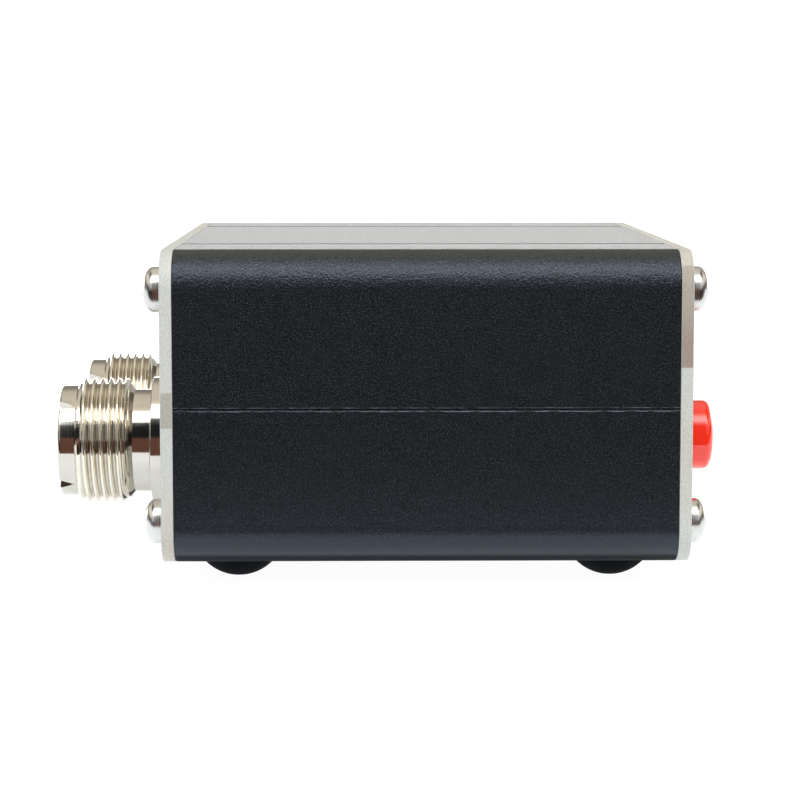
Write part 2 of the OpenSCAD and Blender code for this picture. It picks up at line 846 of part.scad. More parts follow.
// Repeat a child at the six terminals, at the level of the board's upper face
module at_terminals() {
    terminal_mid_y = (switch_front_y + switch_rear_y) / 2;
    for (sx = [-1, 1], i = [-1:1]) {
        lift() translate([button_x + sx * terminal_x, terminal_mid_y + i * terminal_pitch, board_top])
            children();
    }
}

module switch_terminals() {
    below = board_t + terminal_below;
    color("#cfcabd") at_terminals() {
        translate([0, 0, -below]) cylinder(r = terminal_r, h = below + switch_wall - fit_gap);
    }
}

module switch_spring() {
    color("#b9bcc0") face_rear(button_x, piston_front_y + piston_l + fit_gap, button_z)
        coil(spring_turns, spring_coil_r, spring_wire_r, spring_l);
}

// Staple of spring wire that rides in the plunger's cam and latches it
module switch_latch_pin() {
    wire_z = latch_top_z - latch_wire_r;
    rear = switch_rear_y - switch_wall / 2;
    color("#b9bcc0") {
        face_rear(button_x, latch_y, wire_z) cylinder(r = latch_wire_r, h = rear - latch_y);
        lift() translate([button_x, latch_y, latch_leg_z])
            cylinder(r = latch_wire_r, h = wire_z - latch_leg_z);
        lift() translate([button_x, rear, latch_top_z - switch_wall + fit_gap])
            cylinder(r = latch_wire_r, h = wire_z - latch_top_z + switch_wall - fit_gap);
        for (y = [latch_y, rear]) {
            lift() translate([button_x, y, wire_z]) sphere(latch_wire_r);
        }
    }
}

// Display

module display_window() {
    color("#20262a") {
        slab(front_y, panel_t) translate([0, display_z - window_h / 2 + fit_gap])
            rounded_outline(window_w - 2 * fit_gap, window_h - 2 * fit_gap, window_r - fit_gap);
        slab(front_y + window_flange_t, window_flange_t)
            translate([0, display_z - window_h / 2 - window_flange_w])
                rounded_outline(window_w + 2 * window_flange_w, window_h + 2 * window_flange_w, window_r);
    }
}

module display_glass() {
    color("#11161c") block([-glass_w / 2, glass_y, display_z - glass_h / 2],
        [glass_w / 2, glass_y + glass_t, display_z + glass_h / 2]);
}

// Repeat a child at the four corners of the display's board, with +Z turned to the front
module at_spacers(y) {
    for (sx = [-1, 1], sz = [-1, 1]) {
        face_front(sx * spacer_x, y, display_z + sz * spacer_dz) children();
    }
}

module display_board() {
    color("#1f3d68") difference() {
        block([-display_w / 2, display_y, display_z - display_h / 2],
            [display_w / 2, display_back_y, display_z + display_h / 2]);
        at_spacers(display_back_y + cut) cylinder(r = small_screw_r + run_gap, h = display_t + 2 * cut);
        for (x = pins_x) {
            face_front(x, display_back_y + cut, pin_z)
                cylinder(r = pin_w / sqrt(2) + fit_gap, h = display_t + 2 * cut);
        }
    }
}

module display_spacers() {
    color("#d8c07a") at_spacers(display_y) difference() {
        cylinder(r = spacer_r, h = display_y - front_y);
        translate([0, 0, -cut]) cylinder(r = small_screw_r + run_gap, h = display_y - front_y + 2 * cut);
    }
}

module display_screws() {
    color("#cfccc4") at_spacers(display_back_y) {
        translate([0, 0, -small_head_h]) difference() {
            cylinder(r = small_head_r, h = small_head_h);
            for (turn = [0, 90]) {
                rotate(turn) translate([-small_head_r / 2, -small_head_r / 8, -cut])
                    cube([small_head_r, small_head_r / 4, cut + small_head_h / 2]);
            }
        }
        cylinder(r = small_screw_r, h = small_screw_l);
    }
}

module display_header() {
    hole_w = pin_w + 2 * fit_gap;
    color("#1d1e20") difference() {
        block([-header_w / 2, display_back_y, pin_z - header_d / 2],
            [header_w / 2, display_back_y + header_d, pin_z + header_d / 2]);
        for (x = pins_x) {
            block([x - hole_w / 2, display_back_y - cut, pin_z - hole_w / 2],
                [x + hole_w / 2, display_back_y + header_d + cut, pin_z + hole_w / 2]);
        }
    }
}

module display_pins() {
    color("#d9b45c") for (x = pins_x) {
        block([x - pin_w / 2, display_y, board_top], [x + pin_w / 2, pin_tip_y, board_top + pin_w]);
    }
}

// Charging socket

module charging_socket_shell() {
    color("#c9ccd0") slab(port_front_y + port_l, port_l) translate([port_x, board_top]) difference() {
        rounded_outline(port_w, port_h, port_r);
        translate([0, port_t]) rounded_outline(port_w - 2 * port_t, port_h - 2 * port_t, port_r - port_t);
    }
}

module charging_socket_tongue() {
    inner_w = port_w - 2 * port_t - 2 * fit_gap;
    inner_h = port_h - 2 * port_t - 2 * fit_gap;
    port_z = board_top + port_h / 2;
    base_y = port_front_y + port_l - tongue_base_l;
    color("#17181a") {
        slab(port_front_y + port_l, tongue_base_l) translate([port_x, board_top + port_t + fit_gap])
            rounded_outline(inner_w, inner_h, port_r - port_t - fit_gap);
        block([port_x - tongue_w / 2, port_front_y + tongue_recess, port_z - tongue_t / 2],
            [port_x + tongue_w / 2, base_y + tongue_base_l / 2, port_z + tongue_t / 2]);
    }
}

// Main board and what stands on it

module main_board() {
    notch_half = display_w / 2 + room;
    button_notch = flange_r + room;
    color("#1d5a34") difference() {
        block([-board_half_w, board_front_y, board_bottom], [board_half_w, board_rear_y, board_top]);
        block([-notch_half, board_front_y - cut, board_bottom - cut],
            [notch_half, notch_rear_y, board_top + cut]);
        block([button_x - button_notch, board_front_y - cut, board_bottom - cut],
            [button_x + button_notch, switch_front_y - room, board_top + cut]);
        at_terminals() translate([0, 0, -board_t - cut])
            cylinder(r = terminal_r + run_gap, h = board_t + 2 * cut);
    }
}

// Ferrite ring with its axis along X
module coupler_core(y) {
    color("#3a3b3d") lift() translate([-core_t / 2, y, core_z]) rotate([0, 90, 0]) difference() {
        cylinder(r = core_r, h = core_t);
        translate([0, 0, -cut]) cylinder(r = core_bore_r, h = core_t + 2 * cut);
    }
}

// Turns of wire around the ring, the middle one resting on the board
module coupler_winding(y) {
    inner_w = core_t + 2 * fit_gap;
    low = core_bore_r - fit_gap;
    high = core_r + fit_gap;
    reach = (winding_turns - 1) / 2;
    color("#b8652a") lift() translate([0, y, core_z]) for (i = [-reach:reach]) {
        rotate([180 + i * winding_step, 0, 0]) rotate([90, 0, 0])
            linear_extrude(height = winding_d, center = true) difference() {
                translate([-inner_w / 2 - winding_d, low - winding_d])
                    square([inner_w + 2 * winding_d, high - low + 2 * winding_d]);
                translate([-inner_w / 2, low]) square([inner_w, high - low]);
            }
    }
}

module forward_core() { coupler_core(line_y); }
module forward_winding() { coupler_winding(line_y); }
module reflected_core() { coupler_core(sense_y); }
module reflected_winding() { coupler_winding(sense_y); }

module through_line() {
    color("#e8e4d8") lift() translate([0, line_y, board_top])
        bridge_wire(socket_spacing, line_rise, line_bend, line_r);
}

module sense_line() {
    color("#e8e4d8") lift() translate([0, sense_y, board_top])
        bridge_wire(sense_span, line_rise, line_bend, line_r);
}

// Box that stands on the board, given the middle of its foot
module board_box(x, y, size) {
    block([x - size[0] / 2, y - size[1] / 2, board_top],
        [x + size[0] / 2, y + size[1] / 2, board_top + size[2]]);
}

module controller_chip() {
    dot_r = controller_size[0] / 12;
    color("#1b1c1e") difference() {
        board_box(tx_x / 2, parts_y, controller_size);
        lift() translate([tx_x / 2 - controller_size[0] / 4, parts_y - controller_size[1] / 3,
            board_top + controller_size[2] - dot_r / 2]) cylinder(r = dot_r, h = cut);
    }
}

module charger_chip() {
    color("#1b1c1e") board_box(port_x, parts_y, charger_size);
}

module boost_inductor() {
    color("#4a4c50") board_box(ant_x, parts_y, inductor_size);
}

module load_resistors() {
    color("#26282b") for (sx = [-1, 1], row = [0, 1]) {
        board_box(sx * resistor_x, resistor_y + row * (resistor_size[1] + room), resistor_size);
    }
}

module detector_diodes() {
    color("#c96f3a") for (sx = [-1, 1]) {
        lift() translate([sx * diode_x - diode_l / 2, sense_y, board_top + diode_r])
            rotate([0, 90, 0]) cylinder(r = diode_r, h = diode_l);
    }
}

module storage_capacitor() {
    color("#2d3a55") lift() translate([button_x, capacitor_y, board_top])
        cylinder(r = capacitor_r, h = capacitor_h);
}

// Battery under the roof

module battery() {
    color("#b9bdc2") slab(battery_y + battery_l / 2, battery_l) translate([0, battery_top - battery_t])
        rounded_outline(battery_w, battery_t, battery_edge_r);
}

module battery_pad() {
    half_w = battery_w / 2 - pad_margin;
    half_l = battery_l / 2 - pad_margin;
    color("#efe9d2") block([-half_w, battery_y - half_l, battery_top], [half_w, battery_y + half_l, roof_z]);
}

// Lead from the side of the battery down into the plug
module battery_lead(y) {
    lift() translate([battery_w / 2, y, battery_z]) {
        rotate([0, 90, 0]) cylinder(r = lead_r, h = lead_out);
        translate([lead_out, 0, -lead_bend]) rotate([90, 0, 0])
            rotate_extrude(angle = 90) translate([lead_bend, 0]) circle(lead_r);
    }
    lift() translate([lead_x, y, plug_top]) cylinder(r = lead_r, h = battery_z - lead_bend - plug_top);
}

module battery_lead_positive() {
    color("#b3261e") battery_lead(battery_y + lead_pitch / 2);
}

module battery_lead_negative() {
    color("#1a1b1d") battery_lead(battery_y - lead_pitch / 2);
}

module battery_plug() {
    half = [plug_size[0] / 2, plug_size[1] / 2, 0];
    corner = [lead_x, battery_y, plug_floor];
    color("#f0ede4") block(corner - half, corner + half + [0, 0, plug_size[2]]);
}

module battery_plug_header() {
    half = [plug_size[0] / 2 + fit_gap, plug_size[1] / 2 + fit_gap, 0];
    wall = [plug_wall, plug_wall, 0];
    corner = [lead_x, battery_y, board_top];
    color("#e6e2d6") difference() {
        block(corner - half - wall, corner + half + wall + [0, 0, plug_header_h]);
        block(corner - half + [0, 0, plug_wall], corner + half + [0, 0, plug_header_h + cut]);
    }
}

upper_shell();
lower_shell();
front_panel();
rear_panel();
front_panel_screws();
rear_panel_screws();
foot_front_left();
foot_front_right();
foot_rear_left();
foot_rear_right();
transmitter_socket_shell();
transmitter_socket_insulator();
transmitter_socket_contact();
transmitter_socket_washer();
transmitter_socket_lug();
transmitter_socket_nut();
antenna_socket_shell();
antenna_socket_insulator();
antenna_socket_contact();
antenna_socket_washer();
antenna_socket_lug();
antenna_socket_nut();
button_cap();
switch_plunger();
switch_housing();
switch_base();
switch_terminals();
switch_spring();
switch_latch_pin();
display_window();
display_glass();
display_board();
display_spacers();
display_screws();
display_header();
display_pins();
charging_socket_shell();
charging_socket_tongue();
main_board();
forward_core();
forward_winding();
reflected_core();
reflected_winding();
through_line();
sense_line();
controller_chip();
charger_chip();
boost_inductor();
load_resistors();
detector_diodes();
storage_capacitor();
battery();
battery_pad();
battery_lead_positive();
battery_lead_negative();
battery_plug();
battery_plug_header();
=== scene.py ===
# %% [markdown]
# # Dressing a pocket standing-wave meter
#
# The frame holds every piece of the meter at its real size: a split extruded case, two end panels,
# two coaxial sockets, a push button, a display and the electronics. This lesson gives those pieces
# their finish. What shows is modelled again with finer edges, threads and recesses, and what is
# hidden inside keeps its shape and gets a material. The first step loads the frame.

# %% Load the frame
import json
import math

import bmesh
import bpy
from mathutils import Matrix, Vector


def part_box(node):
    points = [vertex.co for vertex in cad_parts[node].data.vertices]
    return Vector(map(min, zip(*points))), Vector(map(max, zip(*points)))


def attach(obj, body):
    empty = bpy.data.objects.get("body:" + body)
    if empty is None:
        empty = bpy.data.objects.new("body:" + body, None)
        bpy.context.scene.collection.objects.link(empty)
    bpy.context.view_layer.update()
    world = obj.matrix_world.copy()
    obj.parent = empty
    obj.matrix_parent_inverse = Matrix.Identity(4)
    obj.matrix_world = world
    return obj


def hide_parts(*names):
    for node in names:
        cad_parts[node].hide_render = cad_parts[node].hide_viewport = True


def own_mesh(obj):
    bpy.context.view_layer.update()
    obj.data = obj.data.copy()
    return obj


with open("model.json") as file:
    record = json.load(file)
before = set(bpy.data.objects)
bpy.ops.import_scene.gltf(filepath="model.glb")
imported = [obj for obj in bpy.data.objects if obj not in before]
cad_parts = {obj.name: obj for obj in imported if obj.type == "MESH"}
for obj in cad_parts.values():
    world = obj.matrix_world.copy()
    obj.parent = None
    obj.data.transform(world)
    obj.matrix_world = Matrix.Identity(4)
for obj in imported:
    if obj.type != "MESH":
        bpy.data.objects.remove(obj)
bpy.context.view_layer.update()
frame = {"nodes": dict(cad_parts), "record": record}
scene = bpy.context.scene
MM = 0.001

# %% [markdown]
# ## Sizes
#
# The case is one extrusion profile that is used twice, with a panel on each end. All its sizes could
# be typed, but then a change in the frame would leave the new pieces behind. So what the frame's
# boxes tell is read from them, and only the rest are sizes of the profile in millimetres.

# %% Sizes of the case
def middle(node):
    """The middle of a node's box."""
    low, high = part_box(node)
    return (low + high) / 2


def size(node):
    """The width, depth and height of a node's box."""
    low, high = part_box(node)
    return high - low


upper_low, upper_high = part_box("upper_shell")
board_low, board_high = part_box("main_board")
half_w = upper_high.x
front_y, rear_y = upper_low.y, upper_high.y
floor_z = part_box("lower_shell")[0].z
seam_z, roof_z = upper_low.z, upper_high.z
front_face_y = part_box("front_panel")[0].y
rear_face_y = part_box("rear_panel")[1].y

wall = 1.8 * MM
corner_r = 4.5 * MM
seam_bevel = 0.22 * MM
lip_h, lip_t = 2.0 * MM, 0.8 * MM
groove_x, groove_w, groove_d = 26.5 * MM, 1.2 * MM, 0.5 * MM
rail_d, rail_t = 2.0 * MM, 1.0 * MM
screw_inset = 4.8 * MM
boss_r, screw_hole_r = 2.61 * MM, 1.51 * MM
slip = 0.06 * MM
shell_rim = 0.14 * MM
screw_x = half_w - screw_inset
boss_x = screw_x - boss_r
print("case from", round(front_face_y / MM, 2), "to", round(rear_face_y / MM, 2), "mm, seam at",
      round(seam_z / MM, 2), "mm")

# %% [markdown]
# ## Camera
#
# The meter is seen from its left side, a little from above, with a long lens. A camera that stands
# at the same distance gives the same perspective, so the place, the two angles and the focal length
# belong together. They could be found by eye, but a fit to the edges of the case is surer.

# %% Camera
camera_place = Vector((-347.1, 2.33, 55.53)) * MM
camera_yaw, camera_pitch = -0.0143, -0.1078
focal_length, sensor_width = 116.35, 36
nearest = 10 * MM

look = Vector((
    math.cos(camera_pitch) * math.cos(camera_yaw),
    math.cos(camera_pitch) * math.sin(camera_yaw),
    math.sin(camera_pitch),
))
camera = bpy.data.objects.new("camera", bpy.data.cameras.new("camera"))
camera.data.lens = focal_length
camera.data.sensor_width = sensor_width
camera.data.clip_start = nearest
camera.location = camera_place
camera.rotation_euler = look.to_track_quat("-Z", "Y").to_euler()
scene.collection.objects.link(camera)
scene.camera = camera
print("camera looks along", [round(c, 3) for c in look])

# %% [markdown]
# ## Helpers for all shader nodes
#
# A material is a small graph. Building it in code is easier to read when one function adds a node,
# sets its values and links it to what came before. A node that is named in a link stands for its
# first output, which is nearly always the one that is wanted. Colours are written as the hex values
# that a picture editor shows, and one function turns them to the linear values that light is
# counted in.

# %% Node and colour helpers
# The places of the two colours, A and B, among the inputs of a Mix node
A, B = 6, 7


def linear(hex_colour):
    """The linear colour, with an alpha of one, of an sRGB hex value."""
    shares = [int(hex_colour[i:i + 2], 16) / 255 for i in (1, 3, 5)]
    return (*(s / 12.92 if s <= 0.04045 else ((s + 0.055) / 1.055) ** 2.4 for s in shares), 1.0)


def link(node, sources):
    """Link outputs, or the first outputs in use of other nodes, to a node's inputs."""
    for socket, source in sources.items():
        if isinstance(source, bpy.types.Node):
            source = next(output for output in source.outputs if output.enabled)
        node.id_data.links.new(source, node.inputs[socket])


def add(tree, kind, values=None, sources=None, stops=None, **options):
    """Add a shader node, set its options, input values and colour stops, and link other nodes to it."""
    node = tree.nodes.new("ShaderNode" + kind)
    for option, value in options.items():
        setattr(node, option, value)
    for socket, value in (values or {}).items():
        node.inputs[socket].default_value = value
    link(node, sources or {})
    for i, (place, colour) in enumerate(stops or []):
        elements = node.color_ramp.elements
        element = elements[i] if i < len(elements) else elements.new(place)
        element.position = place
        element.color = colour
    return node


print("mid grey is", round(linear("#808080")[0], 3), "in linear light")

# %% [markdown]
# ## Start of every material
#
# All finishes, and the plain paints of the set, use the same shader. The patterns of a finish read
# Object coordinates. The pieces keep their place in their meshes, so these are metres in the frame,
# and a grain of a fifth of a millimetre is a texture scale of one over that length. The finished
# materials are kept by the name that the record gives to their slot.

# %% Material helper
finishes = {}


def start(name, colour, **values):
    """Start a material with its constant values: itself, its tree, its shader and the coordinates."""
    material = bpy.data.materials.new(name)
    material.use_nodes = True
    tree = material.node_tree
    tree.nodes.clear()
    inputs = {label.replace("_", " ").title().replace("Ior", "IOR"): v for label, v in values.items()}
    inputs["Base Color"] = linear(colour)
    shader = add(tree, "BsdfPrincipled", inputs)
    add(tree, "OutputMaterial", sources={"Surface": shader})
    where = add(tree, "TexCoord").outputs["Object"]
    return material, tree, shader, where


slots = {part["material_slot"] for part in frame["record"]["subparts"]}
print("the record names", len(slots), "slots for finishes")

# %% [markdown]
# ## Studio
#
# Polished metal has no colour of its own: it shows the room. The room here is a soft box above the
# camera, a dark strip under it, a brown table, white screens on both sides, dark corners, a warm
# ceiling and a white wall behind the meter. Lamps and cards could make it, but bands that are painted
# into the world by elevation are smooth in a mirror and add no objects. There are four sectors of
# bands, which follow each other from the front round to the rear.
# The meter stands on a white sheet. Three planes make it: one that the camera sees, which glows a
# little so that its shadow stays faint, one for the reflections, which ends at the table, and on
# that the shade under the case, because a sheet that glows has none. A white wall that only the
# camera sees stands all round.

# %% Surroundings
def by_elevation(bands):
    """Colour stops for a ramp over the sine of the elevation, from (degrees, hex, strength) rows."""
    stops = []
    for degrees, colour, strength in bands:
        share = (math.sin(math.radians(degrees)) + 1) / 2
        stops.append((share, tuple(strength * c for c in linear(colour)[:3]) + (1.0,)))
    return stops


front_bands = [
    (-90, "#7a5447", 1.0), (9, "#7a5447", 1.0), (14, "#1e2222", 1.0), (46, "#1e2222", 1.0),
    (50, "#ffffff", 5.5), (71, "#ffffff", 5.5), (77, "#fbf1df", 1.25), (90, "#fbf1df", 1.1),
]
side_bands = [
    (-90, "#2c2826", 1.0), (2, "#2c2826", 1.0), (8, "#ffffff", 0.8), (36, "#ffffff", 0.8),
    (41, "#ffffff", 4.6), (66, "#ffffff", 4.6), (77, "#fbf1df", 1.25), (90, "#fbf1df", 1.1),
]
corner_bands = [
    (-90, "#3d332d", 1.0), (14, "#3d332d", 1.0), (19, "#fff6e2", 1.3), (43, "#fff6e2", 1.3),
    (47, "#4c3f33", 1.0), (66, "#4c3f33", 1.0), (77, "#fbf1df", 0.8), (90, "#fbf1df", 1.1),
]
rear_bands = [
    (-90, "#ffffff", 5.6), (4, "#ffffff", 5.6), (10, "#fbf1df", 0.3), (35, "#fbf1df", 0.4),
    (55, "#fbf1df", 0.95), (90, "#fbf1df", 1.1),
]
# Each sector fades in between two angles from the front
sectors = [(side_bands, 8, 15), (corner_bands, 46, 56), (rear_bands, 122, 138)]

world = bpy.data.worlds.new("studio")
world.use_nodes = True
tree = world.node_tree
tree.nodes.clear()
direction = add(tree, "SeparateXYZ", sources={"Vector": add(tree, "TexCoord").outputs["Generated"]})
height = add(tree, "MapRange", {"From Min": -1, "From Max": 1}, {"Value": direction.outputs["Z"]})
aside = add(tree, "Math", sources={0: direction.outputs["Y"]}, operation="ABSOLUTE")
from_rear = add(tree, "Math", sources={0: aside, 1: direction.outputs["X"]}, operation="ARCTAN2")
room = add(tree, "ValToRGB", sources={"Fac": height}, stops=by_elevation(front_bands))
for bands, first, last in sectors:
    angles = {"From Min": math.radians(180 - first), "From Max": math.radians(180 - last)}
    share = add(tree, "MapRange", angles, {"Value": from_rear})
    ramp = add(tree, "ValToRGB", sources={"Fac": height}, stops=by_elevation(bands))
    room = add(tree, "Mix", sources={"Factor": share, A: room, B: ramp}, data_type="RGBA")
light = add(tree, "Background", sources={"Color": room})
add(tree, "OutputWorld", sources={"Surface": light})
scene.world = world
scene.view_settings.view_transform = "Standard"
print("world of", 1 + len(sectors), "sectors")

# %% Floor and backdrop
sheet_half = 3.0
sheet_step = 0.05 * MM
sheet_front_x = -61 * MM
shade_in = 2.5 * MM
wall_height = 3.0
WALL_SIDES = 64
paint_roughness = 0.9


def new_object(name, bm):
    """Turn a bmesh into an object of the scene."""
    mesh = bpy.data.meshes.new(name)
    bm.to_mesh(mesh)
    bm.free()
    obj = bpy.data.objects.new(name, mesh)
    scene.collection.objects.link(obj)
    return obj


def stage_object(name, bm, colour, emission, hidden_from):
    """Make a plain object of the set, which isn't part of the meter."""
    obj = new_object(name, bm)
    paint, *_ = start(name + "_paint", colour, roughness=paint_roughness,
                      emission_color=linear("#ffffff"), emission_strength=emission)
    obj.data.materials.append(paint)
    for ray in hidden_from:
        setattr(obj, "visible_" + ray, False)


def sheet(name, half_x, half_y, place, colour, emission, hidden_from):
    """Lay a flat sheet of the set."""
    bm = bmesh.new()
    bmesh.ops.create_grid(bm, x_segments=1, y_segments=1, size=1.0)
    bmesh.ops.scale(bm, verts=bm.verts[:], vec=(half_x, half_y, 1.0))
    bmesh.ops.translate(bm, verts=bm.verts[:], vec=place)
    stage_object(name, bm, colour, emission, hidden_from)


mirrored = ("camera", "diffuse", "shadow")
sheet("studio_sheet", sheet_half, sheet_half, (0, 0, -sheet_step), "#6a6a6a", 0.87, ("glossy", "shadow"))
sheet("mirrored_sheet", sheet_half, sheet_half, (sheet_half + sheet_front_x, 0, 0), "#e6eef5", 0.5, mirrored)
sheet("mirrored_shade", half_w - shade_in, (rear_face_y - front_face_y) / 2,
      (0, (rear_face_y + front_face_y) / 2, sheet_step), "#6c7074", 0.0, mirrored)

bm = bmesh.new()
bmesh.ops.create_cone(bm, segments=WALL_SIDES, radius1=sheet_half, radius2=sheet_half, depth=2 * wall_height)
stage_object("studio_wall", bm, "#ffffff", 1.0, ("glossy", "diffuse", "shadow", "transmission"))
print("stage of three sheets and a wall")

# %% Lamp
lamp_place, lamp_size, lamp_watts = (-1.2, 0, 0.3), 0.8, 2

lamp = bpy.data.objects.new("fill_lamp", bpy.data.lights.new("fill_lamp", "AREA"))
lamp.data.size = lamp_size
lamp.data.energy = lamp_watts
lamp.location = lamp_place
lamp.rotation_euler = lamp.location.to_track_quat("Z", "Y").to_euler()
lamp.visible_glossy = False
scene.collection.objects.link(lamp)
print("lamp of", lamp_watts, "watts")

# %% [markdown]
# ## Black blasted and anodised aluminium
#
# The half shells are extruded aluminium, blasted with fine beads and given a black dye as they are
# anodised. The eye sees a blue black, with grains that flash where they tilt towards the light. The
# grains are pits that the beads left, so a bump that is steep enough to turn them to the soft box
# gives most of the flashes, and a finer noise paints lighter specks into the colour as painted
# glints. The bump and the painted glints fade out towards the floor, where the skin is smoother.
# Along the seam the saw has bared the metal here and there; two broken lighter lines in the colour
# show that worn metal together with a painted highlight on the edges of the seam's bevel.

# %% Black anodised aluminium
grain_size, grain_depth = 0.25 * MM, 0.1 * MM
# Size of the painted glints, lighter specks in the colour
painted_glint_size = 0.16 * MM
# Heights over the floor where the bump and the painted glints grow from their least share to full strength
smooth_to, full_grain_and_glint_from, least_grain_and_glint = 2.6 * MM, 5.2 * MM, 0.15
# Sizes of the broken lighter lines at the seam, which paint worn metal together with a painted highlight
seam_dash_length, seam_dash_width = 1.6 * MM, 0.04 * MM
seam_dash_drift = 0.32 * MM


def black_anodised():
    material, tree, shader, where = start(
        "black_blasted_anodised_aluminium", "#15181c", roughness=0.31, ior=1.62,
        specular_tint=linear("#c9daec"))
    place = add(tree, "SeparateXYZ", sources={"Vector": where})
    heights = {"From Min": floor_z + smooth_to, "From Max": floor_z + full_grain_and_glint_from, "To Min": least_grain_and_glint}
    bump_and_painted_glint_share = add(tree, "MapRange", heights, {"Value": place.outputs["Z"]})
    pits = {"Scale": 1 / grain_size, "Detail": 1.5, "Roughness": 0.6}
    grain = add(tree, "TexNoise", pits, {"Vector": where})
    bump = add(tree, "Bump", {"Distance": grain_depth}, {"Height": grain, "Strength": bump_and_painted_glint_share})
    # Two broken lighter lines at the edges of the seam's bevel, painted as worn metal together with a
    # painted highlight on those edges
    above = add(tree, "Math", {1: seam_z}, {0: place.outputs["Z"]}, operation="SUBTRACT")
    from_seam = add(tree, "Math", sources={0: above}, operation="ABSOLUTE")
    line = add(tree, "Math", {1: seam_bevel, 2: seam_dash_width}, {0: from_seam}, operation="COMPARE")
    along = add(tree, "Mapping", {"Scale": (1, 1 / seam_dash_length, 1 / seam_dash_drift)}, {"Vector": where})
    broken = add(tree, "TexNoise", {"Scale": 1.0, "Detail": 2.0}, {"Vector": along})
    bare = add(tree, "MapRange", {"From Min": 0.42, "From Max": 0.6}, {"Value": broken})
    wear_and_painted_highlight = add(tree, "Math", sources={0: line, 1: bare}, operation="MULTIPLY")
    # Painted glints: a fine noise lightens specks of the colour in place of grains that flash in the light,
    # and they fade towards the floor with the bump
    painted_glint_noise = add(tree, "TexNoise", {"Scale": 1 / painted_glint_size, "Detail": 1.0}, {"Vector": where})
    painted_glint_amount = add(tree, "MapRange", {"From Min": 0.54, "From Max": 0.76}, {"Value": painted_glint_noise, "To Max": bump_and_painted_glint_share})
    dye_and_painted_glint = {A: linear("#060709"), B: linear("#3e434b")}
    dye_with_painted_glints = add(tree, "Mix", dye_and_painted_glint, {"Factor": painted_glint_amount}, data_type="RGBA")
    colour = add(tree, "Mix", {B: linear("#5a6066")}, {"Factor": wear_and_painted_highlight, A: dye_with_painted_glints}, data_type="RGBA")
    link(shader, {"Base Color": colour, "Normal": bump})
    return material


finishes["case_black"] = black_anodised()
print("made", finishes["case_black"].name)

# %% [markdown]
# ## Bare blasted aluminium
#
# The end panels are plain aluminium sheet, blasted and left bare. The eye sees a pale grey with a
# sandy grain and faint warm stains where hands and tape have been. A wide noise mixes two greys, a
# fine one makes the sand, and the metal share is kept low, because a blasted face scatters light
# almost as paint does. On its two short edges each panel has a browner patch, whose colour changes
# from its foot to its head. The patches differ, so each panel has a material of its own.

# %% Bare aluminium
sand_size, sand_depth = 0.25 * MM, 0.05 * MM
stain_size = 11 * MM
# Places and heights of the browner patches on the panels' short edges
patch_in = 0.08 * MM
front_patch_z, front_patch_h = 32.5 * MM, 12.0 * MM
rear_patch_z, rear_patch_h = 21.45 * MM, 4.2 * MM


def blasted_aluminium(name, face_y, end_y, patch_z, patch_h, patch_foot, patch_head):
    material, tree, shader, where = start(
        name, "#d0d2ce", metallic=0.15, roughness=0.65, specular_ior_level=0.25)
    stain = add(tree, "TexNoise", {"Scale": 1 / stain_size, "Detail": 3.0}, {"Vector": where})
    warm = add(tree, "MapRange", {"From Min": 0.4, "From Max": 0.8}, {"Value": stain})
    greys = {A: linear("#c5c8c5"), B: linear("#bfbab0")}
    colour = add(tree, "Mix", greys, {"Factor": warm}, data_type="RGBA")
    place = add(tree, "SeparateXYZ", sources={"Vector": where})
    # A browner patch on each short edge, whose colour changes from its foot to its head
    edge = {1: (face_y + end_y) / 2, 2: abs(face_y - end_y) / 2 - patch_in}
    on_edge = add(tree, "Math", edge, {0: place.outputs["Y"]}, operation="COMPARE")
    in_patch = add(tree, "Math", {1: patch_z, 2: patch_h / 2}, {0: place.outputs["Z"]}, operation="COMPARE")
    edge_patch = add(tree, "Math", sources={0: on_edge, 1: in_patch}, operation="MULTIPLY")
    rise = {"From Min": patch_z - patch_h / 4, "From Max": patch_z + patch_h / 8}
    up_patch = add(tree, "MapRange", rise, {"Value": place.outputs["Z"]})
    browns = {A: linear(patch_foot), B: linear(patch_head)}
    patch_colour = add(tree, "Mix", browns, {"Factor": up_patch}, data_type="RGBA")
    tinted = add(tree, "Mix", sources={"Factor": edge_patch, A: colour, B: patch_colour}, data_type="RGBA")
    sand = add(tree, "TexNoise", {"Scale": 1 / sand_size, "Detail": 2.0}, {"Vector": where})
    speck = add(tree, "MapRange", {"From Min": 0.35, "From Max": 0.6, "To Min": 0.86}, {"Value": sand})
    shade = add(tree, "Mix", {"Factor": 1.0}, {A: tinted, B: speck}, data_type="RGBA", blend_type="MULTIPLY")
    bump = add(tree, "Bump", {"Strength": 1.0, "Distance": sand_depth}, {"Height": sand})
    link(shader, {"Base Color": shade, "Normal": bump})
    return material


front_bare = blasted_aluminium(
    "bare_blasted_aluminium_front", front_face_y, front_y, front_patch_z, front_patch_h, "#9b8e84", "#a9a298")
rear_bare = blasted_aluminium(
    "bare_blasted_aluminium_rear", rear_face_y, rear_y, rear_patch_z, rear_patch_h, "#aaa8a0", "#aca9a2")
finishes["panel_bare"] = front_bare
print("made", front_bare.name, "and", rear_bare.name)

# %% [markdown]
# ## Plated and plain metals
#
# The sockets are turned brass under bright nickel, which is paler on the thread. The screws are
# nickelled steel, and the contacts are gilt. All are metals that differ in tint and in how smooth
# they are. Turned pieces keep fine lines around their axis, which runs along Y, so the noise that
# makes them changes only along Y. A picture of scratches could do the same, but it would need a UV
# map on every turned piece.

# %% Metals
turning_mark, mark_depth = 0.15 * MM, 0.004 * MM
tarnish_size = 4 * MM


